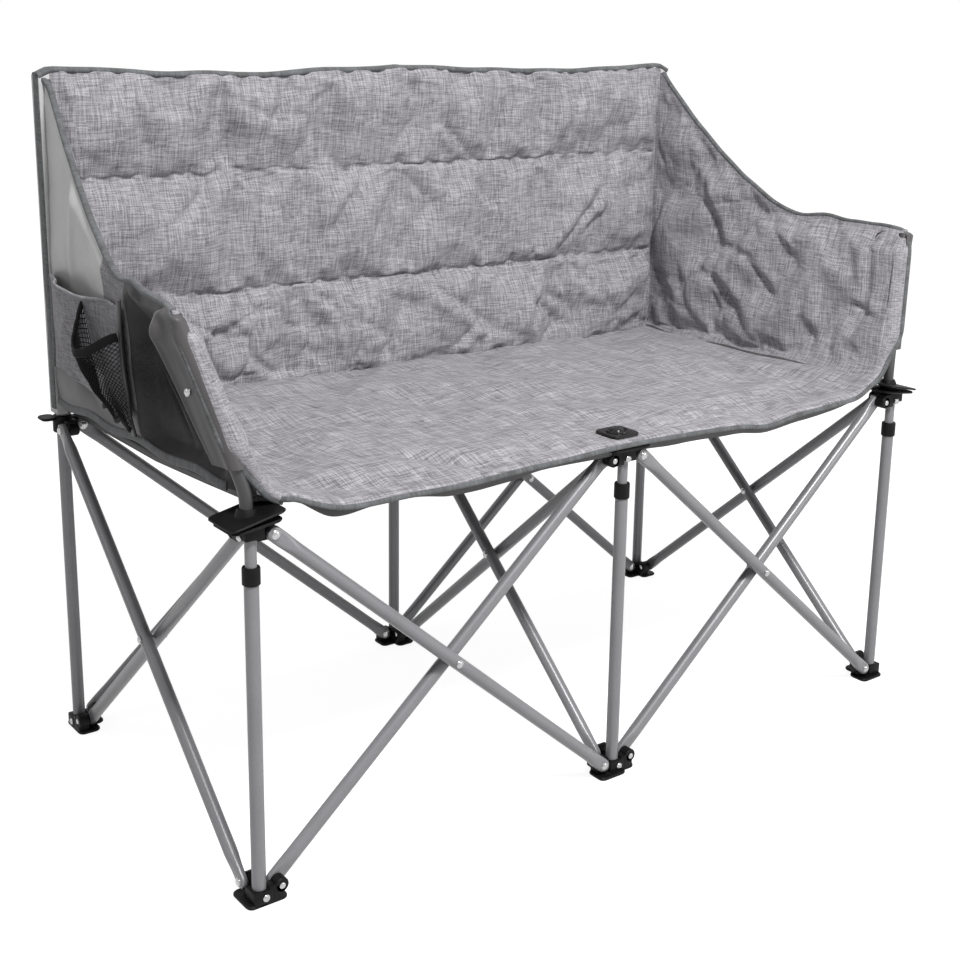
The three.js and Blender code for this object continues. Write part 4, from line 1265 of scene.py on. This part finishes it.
def arms(level):
    nu, nv = 150, 84
    made = []
    for word, side in SIDES:
        body = f"upright_rear_{word}"
        inner, outer = arm_inner(side, level), arm_outer(side)
        face = grid_of(nu, nv, inner)
        flat = []
        for k, p in enumerate(face):
            v = k // (nu + 1) / nv
            flat.append((0.66 * (k % (nu + 1)) / nu, p.z - 0.02 * max(1 - v / FILLET_SHARE, 0)))

        def held(u, v):
            return u < 0.02 or u > 0.78 or v < 0.16 or v > 0.97

        face = billow(inner, (75, 42), (nu, nv), held, side > 0, 0.4, 0.03, 0.008)
        obj = pad(
            f"arm_quilt_{word}", body, (nu, nv), face, grid_of(nu, nv, outer), flat,
            (MELANGE, outer_cloth(side)), [f"arm_pad_{word}"], side > 0,
        )
        top = [inner(ROLL_START * i / 80, 1) + Vector((side * 0.004, 0, 0.0005)) for i in range(81)]
        turn = 0.955 if side > 0 else 1.0
        front = [inner(turn, 1 - i / 44) for i in range(1, 45)]
        start = [
            Vector((side * (BACK_X - 0.003), POST_Y - 0.004, BACK_TOP - 0.012)),
            flip(Vector((CELL + 0.008, ARM_REAR + 0.005, 0.9735)), side),
        ]
        path = eased(start + top + front)

        def across(i):
            return (0, -smooth((i - 79) / 8), 1 - smooth((i - 79) / 8))

        made.append(tape_along(f"arm_tape_{word}", body, path, (0.0036, 0.0044), across))
        low = [outer(i / 60, 0) + Vector((0, 0, 0.003)) for i in range(57)]
        made.append(tape_along(f"arm_hem_{word}", body, low, (0.006, 0.0018), UP))
        made.append(obj)
    return made


def back_side_tapes():
    made = []
    for word, side in SIDES:
        path = []
        for i in range(51):
            z = lerp(0.505, 0.979, i / 50)
            x = BACK_X - 0.0005 + 0.0015 * wobble(z * 12, side, 0)
            path.append(Vector((side * x, POST_Y - 0.003, z)))
        made.append(tape_along(f"back_side_tape_{word}", MIDDLE, path, (0.010, 0.0026), ALONG_Y))
    return made


def arm_sleeves():
    """Cloth round the front and outside of each arm tube, folded in behind it, with a snap."""
    for word, side in SIDES:
        rings, flat = [], []
        count, steps = 60, 60
        for i in range(count + 1):
            t = i / count
            z = lerp(SLEEVE_LOW, SLEEVE_HIGH, t)
            mid = arm_axis(z)
            end = smooth((t - 0.80) / 0.20)
            ridge = lerp(0.024, 0.038, t) * (1 - 0.3 * end)
            bulge = lerp(0.004, 0.013, t) - 0.014 * end if side < 0 else -0.003 - 0.004 * end
            shape = [
                (-0.006, -0.0122), (0.004, -0.0132), (0.0118, -0.0080), (0.0136, 0.004),
                (0.0134 + bulge * 0.6, ridge * 0.7), (0.0136 + bulge, ridge),
                (0.008 + bulge * 0.5, ridge + 0.008), (-0.014, ridge + 0.014),
            ]
            middle = Vector((0.002, 0.012, 0))
            drawn = 1 - 0.85 * smooth((z - 0.728) / 0.0115) ** 2
            shape = spread([Vector((x, y, 0)) for x, y in shape] * 2, (7, 1), (steps, 1))[:steps + 1]
            outer, inner = [], []
            for k, spot in enumerate(shape):
                ahead = shape[min(k + 1, steps)] - shape[max(k - 1, 0)]
                out = Vector((ahead.y, -ahead.x, 0)).normalized()
                loose = smooth(k / 14 - 0.6)
                lump = 0.0026 * wobble(spot.y * 55, z * 10, side * 5.0)
                buckle = wobble(spot.y * 40, z * 42, side * 3.0)
                lump += 0.006 * smooth((t - 0.62) / 0.38) * buckle
                spot = middle + (spot + out * lump * loose - middle) * drawn
                outer.append(flip(mid + spot, side))
                inner.append(flip(mid + spot - out * 0.0014, side))
                flat.append((spot.y + spot.x, z))
            rings.append(outer + inner[::-1])
            flat += flat[-steps - 1:][::-1]
        # The sleeve is in the dark taupe copy of the nylon, whose darkness is partly painted shade.
        form = Form().add(sweep(rings), NYLON_TAUPE_SHADED, flat=flat)
        snap = arm_axis(0.645) + Vector((0.0160, 0.012, 0))
        face = Matrix.Translation(flip(snap, side)) @ rotated(side * math.radians(76), "Y")
        form.add(dome(0.0048, 0.0032), ZINC, face)
        form.add(lathe(ring_profile(0.0046, 0.0060, -0.0012, 0.0008, 0.0003), 24), ZINC, face)
        obj = form.piece(f"arm_sleeve_{word}", f"head_front_{word}", "melange_cloth", angle=60)


# Pocket and cup holder on the left arm


def outer_at(y, z):
    """Left arm's outside at a place, found along its length and height."""
    skin = arm_outer(-1)
    a = v = 0.5
    for _ in range(14):
        p = skin(a, v)
        v = clamp(v + (z - p.z) / 0.3)
        a = clamp(a - (y - p.y) / 0.56)
    return skin(a, v)


POCKET_CREASES = [(0.20, 0.60, 0.12, 0.66, 4, 8), (0.10, 0.585, 0.05, 0.62, 5, 8)]


def side_pocket():
    nu, nv = 60, 34
    rear_y = 0.262

    def sheet(extra):
        def point(u, v):
            top = 0.703 + 0.004 * math.sin(u * 9)
            low = 0.572 - 0.012 * smooth(u / 0.6)
            z = lerp(low, top, v)
            y = lerp(rear_y, strip_y(z) + 0.008, u)
            gape = 0.019 * arch(u / 0.72) ** 0.8 * v ** 1.4 if u < 0.72 else 0
            wrinkle = 0.0035 * ripple(y, z, 9, 6.6) * arch(u) + folds(y, z, POCKET_CREASES)
            belly = 0.006 * arch(u) * arch(v)
            p = outer_at(y, z)
            return Vector((p.x - 0.0035 - gape - belly - max(wrinkle, -0.003) - extra, y, z))

        return point

    flat = [(p.y, p.z) for p in grid_of(nu, nv, sheet(0))]
    obj = pad(
        "pocket_cloth", LEFT, (nu, nv), grid_of(nu, nv, sheet(0.0018)), grid_of(nu, nv, sheet(0)), flat,
        (MELANGE, NYLON_DARK), ["side_pocket"], True,
    )
    line = [sheet(0.0009)(i / 50, 1) for i in range(51)]
    lip = tape_along("pocket_lip_tape", LEFT, line, (0.0034, 0.0016), UP, MELANGE)
    ends = [sheet(0.002)(0, i / 24) for i in range(25)]
    end = tape_along("pocket_end_tape", LEFT, ends, (0.005, 0.002), ALONG_Y)
    strip = []
    for i in range(31):
        z = lerp(0.532, 0.722, i / 30)
        y = strip_y(z) + 0.004 + 0.003 * math.sin(i * 0.35)
        strip.append(outer_at(y, z) + Vector((-0.006 - 0.004 * arch(i / 30), 0, 0)))
    band = tape_along("arm_strip_tape", LEFT, strip, (0.0050, 0.0024), ALONG_Y, NYLON_TAUPE_SHADED)
    return [obj, lip, end, band]


def cup_point(u, v, out=0.0):
    top = 0.672 - 0.030 * arch(u) ** 1.2 + 0.020 * (1 - u) ** 3
    low = 0.556 - 0.014 * arch((u - 0.2) / 0.5) + 0.012 * (1 - u) * arch(u) - 0.012 * u ** 3
    z = lerp(low, top, v)
    y = lerp(lerp(0.070, 0.088, v), lerp(-0.020, -0.046, v), u)
    gape = 0.036 * arch(u) ** 0.8 * v ** 1.1 + 0.010 * arch(u) * arch(v)
    slack = 0.006 * ripple(y, z, 16, 2.9) * arch(u)
    p = outer_at(y, z)
    return Vector((p.x - 0.014 - gape - slack - out, y, z))


def cup_holder():
    form = Form()
    cells_u, cells_v = 44, 40
    index, points, strands = {}, [], []
    for j in range(cells_v + 1):
        for i in range(cells_u + 1):
            if (i + j) % 2 == 0:
                index[i, j] = len(points)
                points.append(cup_point(i / cells_u, j / cells_v))
    for j in range(cells_v):
        for i in range(cells_u):
            if (i + j) % 2 == 0:
                strands.append([index[i, j], index[i + 1, j + 1]])
            else:
                strands.append([index[i + 1, j], index[i, j + 1]])
    half = 0.0007
    for a, b in strands:
        p, q = points[a], points[b]
        ahead = (q - p).normalized()
        u = ahead.cross(Vector((1, 0, 0))).normalized() * half
        v = Vector((half, 0, 0))
        ring = [u, v, -u, -v]
        form.add(sweep([[p + r for r in ring], [q + r for r in ring]]), NET)
    net = form.piece("cup_net", LEFT, "black_mesh", ["cup_holder"])
    made = [net]
    for name, v, size in (("cup_elastic", 1, (0.0058, 0.0016)), ("cup_low_tape", 0, (0.004, 0.0014))):
        line = [cup_point(i / 40, v, 0.0005) for i in range(41)]
        made.append(tape_along(name, LEFT, line, size, UP, ELASTIC, "black_mesh"))
    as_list(made[1:])
    return made


def button_plate():
    form = Form()
    at = shift(PLATE_SPOT[0], PLATE_SPOT[1], 0.5052)
    half = 0.0235
    form.add(slab(-half, half, -half, half, -0.001, 0.0036, 0.009, 0.0012), GLOSSY, at)
    form.add(lathe([
        (0, 0.002), (0.0165, 0.002), (0.0165, 0.0040), (0.0155, 0.0056), (0.0138, 0.0056), (0.0128, 0.0040),
        (0.0106, 0.0040), (0.0100, 0.0060), (0.0078, 0.0078), (0.004, 0.0086), (0, 0.0088),
    ]), GLOSSY, at)
    form.piece("seat_plate", "head_front_center", "black_plastic", ["seat_button_plate"])


# Stage


def seen_by_eye(nodes):
    """1 for rays that show the background: straight from the camera, mirrored or passed through."""
    path = nodes.add("ShaderNodeLightPath").outputs
    result = path["Is Camera Ray"]
    for word in ("Is Glossy Ray", "Is Transmission Ray"):
        result = nodes.math("MAXIMUM", result, path[word])
    return result


def floor_paint():
    """White to the camera with a faint shadow, plain grey to everything else."""
    material = bpy.data.materials.new("floor_paint")
    material.use_nodes = True
    nodes = Tree(material.node_tree)
    nodes.tree.nodes.clear()
    matt = nodes.add("ShaderNodeBsdfDiffuse", Color=(0.4, 0.4, 0.4, 1)).outputs[0]
    glow = nodes.add("ShaderNodeEmission", Strength=0.88).outputs[0]
    mix = nodes.add("ShaderNodeMixShader")
    nodes.feed(mix.inputs[0], seen_by_eye(nodes))
    nodes.feed(mix.inputs[1], matt)
    nodes.feed(mix.inputs[2], nodes.pair("ShaderNodeAddShader", {}, matt, glow))
    nodes.add("ShaderNodeOutputMaterial", Surface=mix.outputs[0])
    return material


def studio():
    """World that is white to the camera and brighter overhead than at the sides."""
    world = bpy.data.worlds.new("studio")
    scene.world = world
    world.use_nodes = True
    nodes = Tree(world.node_tree)
    back = nodes.tree.nodes["Background"]
    back.inputs["Color"].default_value = (1, 1, 1, 1)
    spot = nodes.add("ShaderNodeTexCoord").outputs["Generated"]
    height = nodes.add("ShaderNodeSeparateXYZ", Vector=spot).outputs["Z"]
    sky = nodes.add("ShaderNodeMapRange", Value=height, From_Min=-0.1, From_Max=0.9, To_Min=0.10, To_Max=0.46)
    level = nodes.add("ShaderNodeMix", Factor=seen_by_eye(nodes), A=sky.outputs[0], B=1.0)
    nodes.feed(back.inputs["Strength"], level.outputs["Result"])


def stage():
    mesh = bpy.data.meshes.new("floor")
    mesh.from_pydata([(-30, -30, 0), (30, -30, 0), (30, 30, 0), (-30, 30, 0)], [], [[0, 1, 2, 3]])
    mesh.materials.append(floor_paint())
    obj = bpy.data.objects.new("floor", mesh)
    obj.location.z = -0.0004
    scene.collection.objects.link(obj)
    obj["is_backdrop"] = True
    studio()
    for name, spot, aim, size, power in (
        ("key", (-0.5, -2.5, 3.75), (0, 0, 0.7), 0.7, 182),
        ("fill", (1.8, -3.0, 1.3), (0, 0, 0.4), 1.2, 26),
        ("side", (-3.2, 0.6, 2.0), (-0.5, 0, 0.7), 1.0, 8),
    ):
        light = bpy.data.lights.new(name, "AREA")
        light.energy = power
        light.size = size
        lamp = bpy.data.objects.new(name, light)
        lamp.location = spot
        lamp.rotation_euler = (Vector(aim) - Vector(spot)).to_track_quat("-Z", "Y").to_euler()
        scene.collection.objects.link(lamp)


def camera():
    pitch, yaw, roll = math.radians(13.94), math.radians(36.74), math.radians(-0.80)
    ahead = Vector((math.sin(yaw) * math.cos(pitch), math.cos(yaw) * math.cos(pitch), -math.sin(pitch)))
    right = Vector((math.cos(yaw), -math.sin(yaw), 0))
    down = ahead.cross(right)
    x = math.cos(roll) * right + math.sin(roll) * down
    y = math.sin(roll) * right - math.cos(roll) * down
    lens = bpy.data.cameras.new("camera")
    lens.sensor_width = 36
    lens.lens = 36 * 1470.8 / 960
    lens.shift_y = -90 / 960
    obj = bpy.data.objects.new("camera", lens)
    obj.matrix_world = Matrix((
        (x.x, y.x, -ahead.x, -1.323), (x.y, y.y, -ahead.y, -1.728), (x.z, y.z, -ahead.z, 1.050), (0, 0, 0, 1),
    ))
    scene.collection.objects.link(obj)
    scene.camera = obj


camera()
stage()
uprights()
crossed_bars()
arm_supports()
button_plate()
across_pieces = back_pad() + back_side_tapes()
seat_pieces, seat_level = seat_pads()
across_pieces += seat_pieces
arm_pieces = arms(seat_level) + side_pocket() + cup_holder()
arm_sleeves()

# Each cloth piece gets a mesh of its own
for obj in across_pieces:
    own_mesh(obj)
for obj in arm_pieces:
    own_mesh(obj)

[[list(map(float, corner)) for corner in box] for box in (cad_box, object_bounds())]
